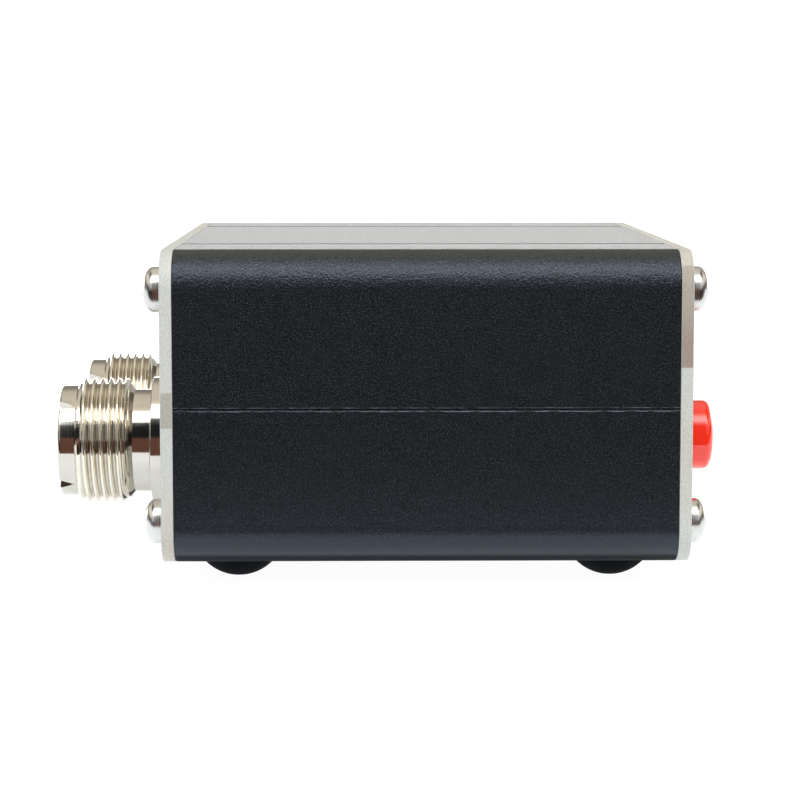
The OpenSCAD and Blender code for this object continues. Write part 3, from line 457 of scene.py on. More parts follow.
def plated_metal(name, colour, tarnish, roughness, marks):
    material, tree, shader, where = start(name, colour, metallic=1.0, roughness=roughness)
    film = add(tree, "TexNoise", {"Scale": 1 / tarnish_size}, {"Vector": where})
    blend = add(tree, "MapRange", {"From Min": 0.4, "From Max": 0.8}, {"Value": film})
    tint = add(tree, "Mix", {A: linear(colour), B: linear(tarnish)}, {"Factor": blend}, data_type="RGBA")
    along = add(tree, "Mapping", {"Scale": (0, 1 / turning_mark, 0)}, {"Vector": where})
    lines = add(tree, "TexNoise", {"Scale": 1.0, "Detail": 2.0}, {"Vector": along})
    spread = {"From Min": 0.3, "From Max": 0.7, "To Min": 0.7 * roughness, "To Max": 1.5 * roughness}
    dull = add(tree, "MapRange", spread, {"Value": lines})
    bump = add(tree, "Bump", {"Strength": marks, "Distance": mark_depth}, {"Height": lines})
    link(shader, {"Base Color": tint, "Roughness": dull, "Normal": bump})
    return material


# The thread's nickel is paler than that of the rest of the shell
thread_nickel = plated_metal("paler_nickel_of_the_thread", "#e2ddd2", "#dbd5c9", 0.08, 0.3)
finishes.update(
    # Bright nickel over brass shows a mirror with a faint straw tint
    socket_nickel=plated_metal("bright_nickel_on_turned_brass", "#c3c0ba", "#b9b5ad", 0.08, 0.5),
    # Nickelled steel screws show a cooler mirror, worn by handling
    screw_nickel=plated_metal("bright_nickel_on_steel", "#c9c9c8", "#bcbcba", 0.24, 0.2),
    # Gilt brass shows a deep yellow mirror
    contact_gold=plated_metal("gilt_brass", "#e3b65c", "#c99a48", 0.16, 0.4),
    # Rolled and drawn steel show a greyer and duller mirror
    washer_steel=plated_metal("zinc_plated_spring_steel", "#c6c4bd", "#aaa69c", 0.3, 0.4),
    spring_steel=plated_metal("drawn_spring_steel", "#bfc2c5", "#9ea2a6", 0.28, 0.3),
)
print("made six metals")

# %% [markdown]
# ## Moulded plastics, rubber and coated pieces
#
# Plastics differ in colour and gloss, and share the faint waviness that a mould leaves. A plain
# colour could stand for each, but light on a real moulding is never quite even. One function makes
# them all, from a colour, a shade for its variation, a roughness, and the size and depth in
# millimetres of the texture in the mould. Rubber is the same with a rougher, coarser skin.

# %% Plastics and coated pieces
# The colour drifts over this many times the size of the texture
DRIFT = 12


def moulded(name, colour, shade, roughness, texture, depth=0.01, **values):
    material, tree, shader, where = start(name, colour, roughness=roughness, **values)
    skin = add(tree, "TexNoise", {"Scale": 1 / (texture * MM), "Detail": 3.0}, {"Vector": where})
    drift = add(tree, "TexNoise", {"Scale": 1 / (DRIFT * texture * MM), "Detail": 2.0}, {"Vector": where})
    mix = add(tree, "Mix", {A: linear(colour), B: linear(shade)}, {"Factor": drift}, data_type="RGBA")
    spread = {"From Min": 0.3, "From Max": 0.7, "To Min": 0.85 * roughness, "To Max": 1.15 * roughness}
    gloss = add(tree, "MapRange", spread, {"Value": skin})
    bump = add(tree, "Bump", {"Strength": 0.5, "Distance": depth * MM}, {"Height": skin})
    link(shader, {"Base Color": mix, "Roughness": gloss, "Normal": bump})
    return material


finishes.update(
    # Glossy ABS, polished in the mould
    button_red=moulded("polished_orange_red_abs", "#f52d12", "#f1290f", 0.12, 0.6, 0.003, ior=1.7),
    # Soft moulded rubber, dull and a little dusty
    foot_rubber=moulded("black_moulded_rubber", "#060b10", "#0b1016", 0.6, 0.25, 0.02,
                        specular_ior_level=0.12),
    # Sintered and turned fluoropolymer, waxy white
    insulator_white=moulded("white_turned_fluoropolymer", "#f2f0ea", "#e9e6dd", 0.45, 0.3, ior=1.35),
    # Acetal, nylon, phenolic and silicone pieces of the switch, the plugs and the leads
    switch_white=moulded("white_moulded_acetal", "#e6e3da", "#dcd8cc", 0.4, 0.4),
    switch_black=moulded("black_moulded_nylon", "#1b1c1e", "#232527", 0.45, 0.3),
    switch_tan=moulded("tan_phenolic_board", "#b98a4e", "#a3763d", 0.6, 0.4),
    plug_cream=moulded("cream_moulded_nylon", "#ece7d8", "#e2dbc8", 0.45, 0.4),
    line_white=moulded("white_fluoropolymer_sleeve", "#ebe7dc", "#e0dacb", 0.4, 0.5),
    lead_red=moulded("red_silicone_sleeve", "#b2231b", "#a01d17", 0.5, 0.4),
    lead_black=moulded("black_silicone_sleeve", "#17181a", "#202123", 0.5, 0.4),
    # Epoxy mouldings of the chips, sintered ferrite, sealed glass, shrunk sleeves and foam
    chip_black=moulded("black_moulded_epoxy", "#1a1b1d", "#222326", 0.6, 0.15),
    ferrite=moulded("sintered_ferrite", "#37383a", "#2c2d2f", 0.7, 0.2, 0.03),
    diode_glass=moulded("amber_sealed_glass", "#b4571f", "#8d3d14", 0.12, 0.8, 0.002),
    capacitor_can=moulded("blue_shrink_sleeve", "#26324c", "#2c3a58", 0.3, 0.6),
    foam_cream=moulded("cream_open_foam", "#ece5cd", "#d9cfb2", 0.9, 0.4, 0.12),
    # Enamelled wire and heat-sealed foil have a metal look under a clear film
    copper=moulded("enamelled_copper_wire", "#b4622b", "#9a4d1f", 0.25, 0.4, metallic=0.9),
    battery_foil=moulded("heat_sealed_aluminium_foil", "#b4b8bd", "#a3a8ae", 0.35, 1.2, 0.04, metallic=0.8),
)
print("made", len(finishes), "finishes so far")

# %% [markdown]
# ## Circuit boards and display
#
# A board is woven glass under a coloured mask, with a faint weave and copper that shows through as
# lighter tracks. The display is black glass with a greyer field of dots in its middle, and in front
# of it is a smoked window that passes most of the light. Tracks and dots could be modelled, but the
# tracks are hidden inside and the dots are finer than a mesh should be, so both are patterns.

# %% Boards, glass and window
weave_size, weave_depth = 0.5 * MM, 0.01 * MM
track_size = 2.5 * MM
field_w, field_h = 21.7 * MM, 10.9 * MM
# Real dots are half this size, which is too fine to show
dot_size = 0.34 * MM
# A wave texture has twenty bands in the length of one noise cell
WAVE_BANDS = 20


def masked_board(name, colour, track):
    material, tree, shader, where = start(name, colour, roughness=0.35, ior=1.5)
    cells = add(tree, "TexVoronoi", {"Scale": 1 / track_size}, {"Vector": where}, feature="DISTANCE_TO_EDGE")
    line = add(tree, "MapRange", {"From Min": 0.1, "From Max": 0.05}, {"Value": cells})
    mix = add(tree, "Mix", {A: linear(colour), B: linear(track)}, {"Factor": line}, data_type="RGBA")
    weave = add(tree, "TexWave", {"Scale": 1 / weave_size / WAVE_BANDS}, {"Vector": where})
    bump = add(tree, "Bump", {"Strength": 0.2, "Distance": weave_depth}, {"Height": weave.outputs["Fac"]})
    link(shader, {"Base Color": mix, "Normal": bump})
    return material


def dark_display(name, colour, dot, gap):
    material, tree, shader, where = start(name, colour, roughness=0.06, ior=1.52)
    centre = middle("display_window")
    place = add(tree, "SeparateXYZ", sources={"Vector": where})
    across = add(tree, "Math", {1: centre.x, 2: field_w / 2}, {0: place.outputs["X"]}, operation="COMPARE")
    upright = add(tree, "Math", {1: centre.z, 2: field_h / 2}, {0: place.outputs["Z"]}, operation="COMPARE")
    field = add(tree, "Math", sources={0: across, 1: upright}, operation="MULTIPLY")
    dots = add(tree, "TexVoronoi", {"Scale": 1 / dot_size, "Randomness": 0.0}, {"Vector": where},
               distance="CHEBYCHEV")
    grid = add(tree, "MapRange", {"From Min": 0.35, "From Max": 0.45}, {"Value": dots})
    matrix = add(tree, "Mix", {A: linear(dot), B: linear(gap)}, {"Factor": grid}, data_type="RGBA")
    mix = add(tree, "Mix", {A: linear(colour)}, {"Factor": field, B: matrix}, data_type="RGBA")
    link(shader, {"Base Color": mix})
    return material


finishes.update(
    # Masked boards show a glossy colour with paler tracks
    board_green=masked_board("green_masked_board", "#16502c", "#2a7444"),
    board_blue=masked_board("blue_masked_board", "#16345f", "#2a5288"),
    # Display glass shows a black mirror with a grey field
    display_glass=dark_display("black_display_glass", "#05070a", "#39414c", "#2a3039"),
    # Smoked acrylic shows a dark gloss and lets the display through
    window_smoke=moulded("smoked_acrylic_sheet", "#20262c", "#1c2228", 0.04, 3.0, 0.0005,
                         ior=1.6, alpha=0.35),
)
print("made", len(finishes), "finishes in all")

# %% [markdown]
# ## From outline to piece
#
# Most pieces of the case are made by pushing metal through a die or by punching sheet, so their
# meshes are outlines that are pulled along Y. The outline is a loop of corners. A bevel of single
# vertices rounds the corners that have a radius, a fill closes the loop around its holes, and an
# inset of the two ends turns their sharp rims into small rounds. The function at the end gives the
# finished mesh its smooth shading, its material and its place on a body.

# %% Outlines
arc_step = 0.2 * MM
LEAST_ARC, HOLE_SIDES = 6, 64


def draw_loop(bm, corners):
    """Draw a closed outline in the XZ plane from (x, z, radius) corners."""
    verts = [bm.verts.new((x, 0, z)) for x, z, _ in corners]
    for a, b in zip(verts, verts[1:] + verts[:1]):
        bm.edges.new((a, b))
    for radius in sorted({r for _, _, r in corners if r}):
        bmesh.ops.bevel(
            bm, geom=[v for v, corner in zip(verts, corners) if corner[2] == radius], offset=radius,
            segments=max(LEAST_ARC, round(radius / arc_step)), profile=0.5, affect="VERTICES", material=-1)


def draw_slot(bm, place, w, h, r):
    """Draw a rounded rectangle in the XZ plane around a place."""
    signs = ((-1, -1), (1, -1), (1, 1), (-1, 1))
    draw_loop(bm, [(place.x + sx * w / 2, place.z + sz * h / 2, r) for sx, sz in signs])


def draw_circle(bm, x, z, radius):
    """Draw a round hole in the XZ plane."""
    turned = Matrix.Translation((x, 0, z)) @ Matrix.Rotation(math.pi / 2, 4, "X")
    bmesh.ops.create_circle(bm, segments=HOLE_SIDES, radius=radius, matrix=turned)


print("arcs in steps of", arc_step / MM, "mm")

# %% Pulled solids
# A face is an end where its normal has more than this share of Y
FACES_Y = 0.9
# Two insets, each across and along the rim, that follow a quarter round
ROUND_STEPS = ((1 - math.cos(math.pi / 4), math.sin(math.pi / 4)),
               (math.cos(math.pi / 4), 1 - math.sin(math.pi / 4)))


def pull(bm, from_y, to_y, rim):
    """Fill the loops, pull them along Y and round the rims of both ends."""
    bmesh.ops.triangle_fill(bm, use_beauty=True, use_dissolve=True, edges=bm.edges[:], normal=(0, -1, 0))
    bmesh.ops.translate(bm, verts=bm.verts[:], vec=(0, from_y + rim, 0))
    pulled = bmesh.ops.extrude_face_region(bm, geom=bm.faces[:])["geom"]
    far = [g for g in pulled if isinstance(g, bmesh.types.BMVert)]
    bmesh.ops.translate(bm, verts=far, vec=(0, to_y - from_y - 2 * rim, 0))
    bmesh.ops.recalc_face_normals(bm, faces=bm.faces[:])
    ends = [f for f in bm.faces if abs(f.normal.y) > FACES_Y]
    for across, along in ROUND_STEPS if rim else ():
        bmesh.ops.inset_region(bm, faces=ends, thickness=across * rim, depth=along * rim,
                               use_even_offset=True, use_boundary=True)


def join(bm, other):
    """Add another mesh to this one."""
    mesh = bpy.data.meshes.new("other")
    other.to_mesh(mesh)
    other.free()
    bm.from_mesh(mesh)
    bpy.data.meshes.remove(mesh)


print("rims are rounded by", len(ROUND_STEPS), "insets")

# %% Finished pieces
sharp_angle = math.radians(32)


def finish_piece(bm, name, slot, *nodes, body="case", material=None):
    """Turn a mesh into a piece that rides on a body and stands for nodes of the frame."""
    obj = new_object(name, bm)
    obj.data.shade_smooth()
    obj.data.set_sharp_from_angle(angle=sharp_angle)
    obj.data.materials.append(material or finishes[slot])
    flats = obj.modifiers.new("flat_faces_stay_flat", "WEIGHTED_NORMAL")
    flats.keep_sharp = True
    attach(obj, body)
    if nodes:
        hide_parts(*nodes)
    print(name, "has", len(obj.data.polygons), "faces and stands for", ", ".join(nodes) or "no node")
    return obj


print("edges are sharp from", round(math.degrees(sharp_angle)), "degrees on")

# %% [markdown]
# ## Half shells
#
# The case is one extrusion profile, used twice: the upper half is rebated inside its seam and the
# lower half has the lip that goes in there, and rails for the circuit board. Each half has bosses
# in its corners for the panel screws and two shallow grooves outside. A box with bevelled edges
# would look alike from outside, but the profile gives the true walls at the ends as well.

# %% Half shells
def half_shell(name, up, inner, node):
    """Pull one half of the case. up is 1 for the roof's half and -1 for the floor's."""
    skin_z = roof_z if up > 0 else floor_z
    screw_z = skin_z - up * screw_inset
    boss_z = screw_z - up * boss_r
    right = [
        (half_w - seam_bevel, seam_z, 0), (half_w, seam_z + up * seam_bevel, 0), (half_w, skin_z, corner_r),
        (groove_x + groove_w / 2, skin_z, 0), (groove_x + groove_w / 2, skin_z - up * groove_d, 0),
        (groove_x - groove_w / 2, skin_z - up * groove_d, 0), (groove_x - groove_w / 2, skin_z, 0),
    ]
    inside = [(boss_x, skin_z - up * wall, 0), (boss_x, boss_z, boss_r), (half_w - wall, boss_z, 0), *inner]
    left = [(-x, z, r) for x, z, r in reversed(right)]
    left_inside = [(-x, z, r) for x, z, r in reversed(inside)]
    bm = bmesh.new()
    draw_loop(bm, right + left + left_inside + inside)
    for x in (-screw_x, screw_x):
        draw_circle(bm, x, screw_z, screw_hole_r)
    pull(bm, front_y, rear_y, shell_rim)
    finish_piece(bm, name, "case_black", node)


rebate_x = half_w - wall + lip_t + slip
rebate_z = seam_z + lip_h + slip
half_shell("case_upper_half", 1, [
    (half_w - wall, rebate_z, 0), (rebate_x, rebate_z, 0), (rebate_x, seam_z, 0)], "upper_shell")

rail_x = half_w - wall - rail_d
rails = [z for edge in (board_low.z - slip - rail_t, board_high.z + slip) for z in (edge, edge + rail_t)]
rail_corners = [
    (x, z, 0) for z, order in zip(rails, (1, -1, 1, -1))
    for x in (half_w - wall, rail_x)[::order]]
half_shell("case_lower_half", -1, rail_corners + [
    (half_w - wall, seam_z + lip_h, 0), (half_w - wall + lip_t, seam_z + lip_h, 0),
    (half_w - wall + lip_t, seam_z, 0)], "lower_shell")

# %% [markdown]
# ## End panels
#
# Each panel is a sheet of aluminium with the outline of the case, punched for the screws and for
# what comes through it. Booleans could cut the holes, but as loops inside the outline they are clean,
# and the same rounding of the rims gives every punched edge the small round that blasting leaves.

# %% Sizes of the panels
SOCKETS = ("transmitter", "antenna")
panel_rim = 0.16 * MM
panel_hole_r = 1.75 * MM
passage = 0.3 * MM
flange = 1.5 * MM
window_r = 1.0 * MM
port_r = 1.48 * MM
barrel_r = 6.35 * MM
flange_w = 0.7 * MM
case_middle = Vector((0, 0, (floor_z + roof_z) / 2))
screw_places = [(sx * screw_x, z) for sx in (-1, 1) for z in (floor_z + screw_inset, roof_z - screw_inset)]

cap_middle = middle("button_cap")
cap_r = size("button_cap").x / 2 - flange_w
window_middle, window_size = middle("display_window"), size("display_window")
opening_w, opening_h = window_size.x - 2 * flange, window_size.z - 2 * flange
port_middle, port_size = middle("charging_socket_shell"), size("charging_socket_shell")
print("window opening of", round(opening_w / MM, 2), "by", round(opening_h / MM, 2), "mm")


# %% Front and rear panel
def start_panel():
    """The outline of a panel with its four screw holes."""
    bm = bmesh.new()
    draw_slot(bm, case_middle, 2 * half_w, roof_z - floor_z, corner_r)
    for x, z in screw_places:
        draw_circle(bm, x, z, panel_hole_r)
    return bm


bm = start_panel()
draw_circle(bm, cap_middle.x, cap_middle.z, cap_r + passage)
draw_slot(bm, window_middle, opening_w, opening_h, window_r)
draw_slot(bm, port_middle, port_size.x + 2 * passage, port_size.z + 2 * passage, port_r + passage)
pull(bm, front_face_y, front_y, panel_rim)
finish_piece(bm, "front_end_panel", "panel_bare", "front_panel")

bm = start_panel()
for socket in SOCKETS:
    place = middle(f"{socket}_socket_shell")
    draw_circle(bm, place.x, place.z, barrel_r + passage)
pull(bm, rear_y, rear_face_y, panel_rim)
finish_piece(bm, "rear_end_panel", "panel_bare", "rear_panel", material=rear_bare)

# %% [markdown]
# ## Turned pieces
#
# Screws, feet, sockets and the button are round. A lathe cuts such a piece by following a profile,
# and a spin does the same: the profile is a line of points with a radius and a distance along the
# axis, and the spin carries it once around. Where a cutter then mills a slot or a recess, a boolean
# takes one mesh out of the other.

# %% Lathe and mill
SPIN_STEPS = 96
weld = 0.0005 * MM


def arc(radius, distance, r, first, last, steps):
    """Points of an arc around (radius, distance), between two angles in degrees."""
    angles = [math.radians(first + (last - first) * i / steps) for i in range(steps + 1)]
    return [(radius + r * math.cos(a), distance + r * math.sin(a)) for a in angles]


def turn(profile, place, axis, closed=False, steps=SPIN_STEPS):
    """Spin a profile of (radius, distance) points around an axis through a place."""
    bm = bmesh.new()
    axis = Vector(axis)
    verts = [bm.verts.new(place + Vector((r, 0, 0)) + axis * d) for r, d in profile]
    ends = verts[1:] + verts[:1] if closed else verts[1:]
    edges = [bm.edges.new(pair) for pair in zip(verts, ends)]
    bmesh.ops.spin(bm, geom=verts + edges, cent=place, axis=axis, angle=2 * math.pi, steps=steps,
                   use_merge=True)
    bmesh.ops.remove_doubles(bm, verts=bm.verts[:], dist=weld)
    bmesh.ops.recalc_face_normals(bm, faces=bm.faces[:])
    return bm


def carve(bm, cutter, operation="DIFFERENCE"):
    """Cut one mesh out of another, or unite the two, and give back the result."""
    blanks = [new_object("blank", part) for part in (bm, cutter)]
    cut = blanks[0].modifiers.new("cut", "BOOLEAN")
    cut.operation = operation
    cut.solver = "EXACT"
    cut.object = blanks[1]
    whole = blanks[0].evaluated_get(bpy.context.evaluated_depsgraph_get())
    left = bmesh.new()
    left.from_mesh(whole.to_mesh())
    whole.to_mesh_clear()
    for blank in blanks:
        mesh = blank.data
        bpy.data.objects.remove(blank)
        bpy.data.meshes.remove(mesh)
    return left


print("a full turn has", SPIN_STEPS, "steps")

# %% [markdown]
# ## Panel screws
#
# Eight dome-head screws with a cross recess hold the panels. The head is turned with a short straight
# side and a dome that is a quarter of an ellipse. A dark cross in the material would be quicker than a
# recess, but only real edges catch the light, so a tapered cross is cut out. Each screw is stopped at
# another angle, as a hand leaves them.

# %% Screw and recess
head_r, head_side, head_h = 2.7 * MM, 0.9 * MM, 2.35 * MM
seat_edge = 0.1 * MM
shank_r, shank_l = 1.45 * MM, 8.0 * MM
recess_l, recess_w, recess_d = 3.2 * MM, 0.75 * MM, 1.5 * MM
tip_taper, recess_taper = 0.55, 0.5
DOME_STEPS, SCREW_STEPS = 16, 64


def screw_profile():
    """Half section of a screw, from the tip of its shank to the top of its head."""
    dome_h = head_h - head_side
    dome = [(head_r * x, head_side + dome_h * y) for x, y in arc(0, 0, 1, 0, 90, DOME_STEPS)]
    return [(0, -shank_l), (shank_r * tip_taper, -shank_l), (shank_r, -shank_l + shank_r), (shank_r, 0),
            (head_r - seat_edge, 0), (head_r, seat_edge), *dome]


def cross_cutter(place, facing, angle):
    """A cross that narrows towards the bottom of the recess."""
    arm = ((recess_l / 2, -recess_w / 2), (recess_l / 2, recess_w / 2), (recess_w / 2, recess_w / 2))
    corners = []
    for c, s in ((1, 0), (0, 1), (-1, 0), (0, -1)):
        corners += [(x * c - z * s, x * s + z * c, 0) for x, z in arm]
    bm = bmesh.new()
    draw_loop(bm, corners)
    pull(bm, head_h - recess_d, head_h + head_side, 0)
    floor_verts = [v for v in bm.verts if v.co.y < head_h]
    bmesh.ops.scale(bm, verts=floor_verts, vec=(recess_taper, 1, recess_taper))
    turned = Matrix.Rotation(0 if facing > 0 else math.pi, 4, "Z") @ Matrix.Rotation(angle, 4, "Y")
    bmesh.ops.transform(bm, matrix=Matrix.Translation(place) @ turned, verts=bm.verts[:])
    return bm


print("screw section of", len(screw_profile()), "points")

# %% Panel screws
next_angle = 0.6


def panel_screws(name, seat_y, facing, first_angle, node):
    """Four screws on one panel, joined in one piece."""
    group = bmesh.new()
    for i, (x, z) in enumerate(screw_places):
        place = Vector((x, seat_y, z))
        screw = turn(screw_profile(), place, (0, facing, 0), steps=SCREW_STEPS)
        screw = carve(screw, cross_cutter(place, facing, first_angle + i * next_angle))
        join(group, screw)
    finish_piece(group, name, "screw_nickel", node)


panel_screws("front_screws", front_face_y, -1, 0.2, "front_panel_screws")
panel_screws("rear_screws", rear_face_y, 1, 0.5, "rear_panel_screws")

# %% [markdown]
# ## Feet
#
# Four rubber feet are stuck under the case. Each is a dome with a small worn flat, a soft edge where
# the mould parted, and a little spread from the weight that it carries. A flattened sphere comes
# close, but a turned arc meets the floor and the case at the true height.

# %% Feet
foot_flat_r = 1.3 * MM
foot_rim = 0.25 * MM
foot_spread = 0.3 * MM
FOOT_STEPS = 20


def rubber_foot(node):
    place = middle(node)
    place.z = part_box(node)[0].z
    foot_r, foot_h = size(node).x / 2 + foot_spread, size(node).z
    dome_z = (foot_r ** 2 + foot_h ** 2 - foot_flat_r ** 2) / (2 * foot_h)
    dome_r = math.hypot(foot_flat_r, dome_z)
    first = math.degrees(math.atan2(-dome_z, foot_flat_r))
    last = math.degrees(math.atan2(foot_h - foot_rim - dome_z, foot_r))
    dome = arc(0, dome_z, dome_r, first, last, FOOT_STEPS)
    profile = [(0, 0), *dome, (foot_r - foot_rim, foot_h), (0, foot_h)]
    finish_piece(turn(profile, place, (0, 0, 1)), "rubber_" + node, "foot_rubber", node)


for end in ("front", "rear"):
    for hand in ("left", "right"):
        rubber_foot(f"foot_{end}_{hand}")

# %% [markdown]
# ## Coaxial sockets
#
# Each socket is a turned shell with a collar against the panel, a thin neck, the coupling thread and
# a plain nose with four notches in its rim. The frame has rings in place of the thread. Here the
# thread is a true helix: a spin that also steps along the axis carries the rib's section around
# seven turns, and what would stand past the chamfers at its ends is turned down. A bump could hint
# at the thread, but the outline of the socket shows every crest.

# %% Sizes of a socket
collar_r, collar_l = 8.1 * MM, 2.75 * MM
neck_r, neck_l = 6.55 * MM, 2.3 * MM
thread_r, thread_d, thread_l = 7.9375 * MM, 0.62 * MM, 7.2 * MM
pitch = 25.4 / 24 * MM
crest_w, crest_round = pitch / 4.5, 0.07 * MM
flank_angle = math.radians(30)
rib_sunk = 0.2 * MM
rib_before, rib_after = 0.35 * pitch, 0.05 * pitch
# The share of the rib's height that stays where its crest is turned down
turned_share = 0.3
nose_r, nose_l = 7.05 * MM, 2.1 * MM
nose_slope, neck_slope = 1.1, 1.5
seat_r, rear_bore_r = 5.7 * MM, 4.0 * MM
notch_w, notch_d, notch_turn = 1.6 * MM, 1.9 * MM, math.radians(45)
chamfer = 0.3 * MM
collar_edge = 0.14 * MM
thread_at = collar_l + neck_l
nose_at = thread_at + thread_l
rim_at = nose_at + nose_l
root_r = thread_r - thread_d
barrel_l = size("transmitter_socket_shell").y - rim_at
print("socket stands", round(rim_at / MM, 2), "mm out of the panel")


# %% Section of the shell
def on_rear(node):
    """The point where the axis of a node passes the outer face of the rear panel."""
    place = middle(node)
    place.y = rear_face_y
    return place


def limit_radius(d):
    """Largest radius of the thread at a distance, where both ends are chamfered on the lathe."""
    return min(nose_r + nose_slope * (nose_at - d), neck_r + neck_slope * (d - thread_at))


def socket_profile():
    """Closed half section of the shell, outwards along its outside and back through its bore."""
    return [
        (barrel_r, -barrel_l), (barrel_r, 0), (collar_r - collar_edge, 0), (collar_r, collar_edge),
        *arc(collar_r - collar_edge, collar_l - collar_edge, collar_edge, 0, 90, 3),
        (neck_r + chamfer / 2, collar_l), (neck_r, collar_l + chamfer / 2), (neck_r, thread_at),
        (root_r, thread_at + (root_r - neck_r) / neck_slope),
        (root_r, nose_at - (root_r - nose_r) / nose_slope), (nose_r, nose_at),
        *arc(nose_r - chamfer, rim_at - chamfer, chamfer, 0, 90, 5),
        (seat_r + chamfer, rim_at), (seat_r, rim_at - chamfer), (seat_r, collar_l), (rear_bore_r, collar_l),
        (rear_bore_r, -barrel_l),
    ]


print("shell section of", len(socket_profile()), "points")

# %% Notches and thread
THREAD_STEPS, NOTCHES = 96, 4


def notch_cutter(place):
    """Four wedges that cut the notches into the rim."""
    bm = bmesh.new()
    for i in range(NOTCHES):
        wedge = bmesh.ops.create_cone(
            bm, cap_ends=True, segments=4, radius1=1.0, radius2=1.0, depth=2 * collar_r)["verts"]
        bmesh.ops.scale(bm, verts=wedge, vec=(notch_w / 2, notch_d, 1.0))
        bmesh.ops.translate(bm, verts=wedge, vec=(0, 0, collar_r))
        bmesh.ops.rotate(bm, verts=wedge, cent=(0, 0, 0), matrix=Matrix.Rotation(
            math.pi / 2 - notch_turn - i * 2 * math.pi / NOTCHES, 3, "Y"))
    bmesh.ops.translate(bm, verts=bm.verts[:], vec=place + Vector((0, rim_at, 0)))
    return bm


def add_thread(bm, place):
    """Sweep the thread's rib along its helix and add it to the shell."""
    foot_w = crest_w + 2 * thread_d * math.tan(flank_angle)
    section = [(root_r - rib_sunk, -foot_w / 2), (root_r, -foot_w / 2), (thread_r, -crest_w / 2),
               (thread_r, crest_w / 2), (root_r, foot_w / 2), (root_r - rib_sunk, foot_w / 2)]
    first = thread_at - rib_before
    turns = (thread_l + rib_before + rib_after) / pitch
    steps = round(turns * THREAD_STEPS)
    before = set(bm.verts)
    rib = bm.faces.new([bm.verts.new(place + Vector((-r, first + d, 0))) for r, d in section])
    crests = sorted(rib.verts, key=lambda v: v.co.x)[:2]
    bmesh.ops.bevel(bm, geom=crests, offset=crest_round, segments=3, profile=0.5, affect="VERTICES",
                    material=-1)
    rib = next(f for f in bm.faces if f.verts[0] not in before)
    bmesh.ops.spin(bm, geom=[rib], cent=place, axis=(0, 1, 0), dvec=(0, turns * pitch / steps, 0),
                   angle=turns * 2 * math.pi, steps=steps)
    for v in (v for v in bm.verts if v not in before):
        away = Vector((v.co.x - place.x, 0, v.co.z - place.z))
        limit = limit_radius(v.co.y - place.y) - turned_share * (thread_r - away.length)
        if away.length > limit:
            v.co += away * (limit / away.length - 1)
    flanks = [f for f in bm.faces if f.verts[0] not in before]
    bmesh.ops.recalc_face_normals(bm, faces=flanks)
    for flank in flanks:
        flank.material_index = 1


print("thread of", round(thread_l / pitch, 1), "turns and", NOTCHES, "notches")


# %% Socket shells
def socket_shell(socket):
    node = f"{socket}_socket_shell"
    place = on_rear(node)
    bm = turn(socket_profile(), place, (0, 1, 0), closed=True)
    bm = carve(bm, notch_cutter(place))
    add_thread(bm, place)
    body = finish_piece(bm, f"{socket}_socket_body", "socket_nickel", node)
    body.data.materials.append(thread_nickel)


for socket in SOCKETS:
    socket_shell(socket)

# %% [markdown]
# ## Inside of the sockets
#
# A plug's pin goes into a gilt tube that four slits make springy, held by a white insulator. Booleans
# could cut the slits, but four arcs have cleaner rims, so each finger is its own short spin with
# closed ends, on top of a whole tube. The insulator is turned, with a small step around the contact.

# %% Sizes inside a socket
recess = 1.5 * MM
contact_r, contact_bore_r, bore_l = 2.8 * MM, 2.0 * MM, 9.0 * MM
slit_w, slit_l = 0.5 * MM, 6.0 * MM
cup_r, cup_bore_r, cup_bore_l = 2.0 * MM, 1.2 * MM, 4.0 * MM
fit = 0.02 * MM
edge = 0.2 * MM
face_at = rim_at - recess
shoulder_at = collar_l / 2
print("insulator lies", round(recess / MM, 2), "mm behind the rim")

# %% Insulator and contact
FINGERS, FINGER_STEPS = 4, 20


def socket_insulator(socket):
    node = f"{socket}_socket_insulator"
    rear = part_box(node)[0].y - rear_face_y
    outer, inner, hole = seat_r - fit, rear_bore_r - fit, contact_r + fit
    profile = [
        (cup_r + fit, rear), (inner, rear), (inner, collar_l + fit), (outer, collar_l + fit),
        *arc(outer - edge, face_at - edge, edge, 0, 90, 4), (hole + 4 * edge, face_at),
        (hole + 3 * edge, face_at - 2 * edge), (hole, face_at - 2 * edge), (hole, shoulder_at),
        (cup_r + fit, shoulder_at)]
    bm = turn(profile, on_rear(node), (0, 1, 0), closed=True)
    finish_piece(bm, f"{socket}_insulator_bush", "insulator_white", node)


def socket_contact(socket):
    node = f"{socket}_socket_contact"
    place = on_rear(node)
    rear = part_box(node)[0].y - rear_face_y
    base_at, bore_at, finger_at = shoulder_at + fit, face_at - bore_l, face_at - slit_l
    stem = [
        (0, rear + cup_bore_l), (cup_bore_r, rear + cup_bore_l), (cup_bore_r, rear), (cup_r, rear),
        (cup_r, base_at), (contact_r, base_at), (contact_r, finger_at), (contact_bore_r, finger_at),
        (contact_bore_r, bore_at), (0, bore_at)]
    bm = turn(stem, place, (0, 1, 0))
    finger = [
        (contact_bore_r, finger_at), (contact_r, finger_at),
        *arc(contact_r - edge, face_at - edge, edge, 0, 90, 4),
        (contact_bore_r + 1.5 * edge, face_at), (contact_bore_r, face_at - 1.5 * edge)]
    gap = 2 * math.asin(slit_w / 2 / contact_r)
    share = 2 * math.pi / FINGERS
    for i in range(FINGERS):
        verts = [bm.verts.new(place + Vector((r, d, 0))) for r, d in finger]
        section = bm.faces.new(verts)
        sweep = Matrix.Rotation((i - 0.5) * share + gap / 2, 3, "Y")
        bmesh.ops.rotate(bm, verts=verts, cent=place, matrix=sweep)
        bmesh.ops.spin(bm, geom=[section], cent=place, axis=(0, 1, 0), angle=share - gap, steps=FINGER_STEPS)
    bmesh.ops.recalc_face_normals(bm, faces=bm.faces[:])
    finish_piece(bm, f"{socket}_contact_tube", "contact_gold", node)


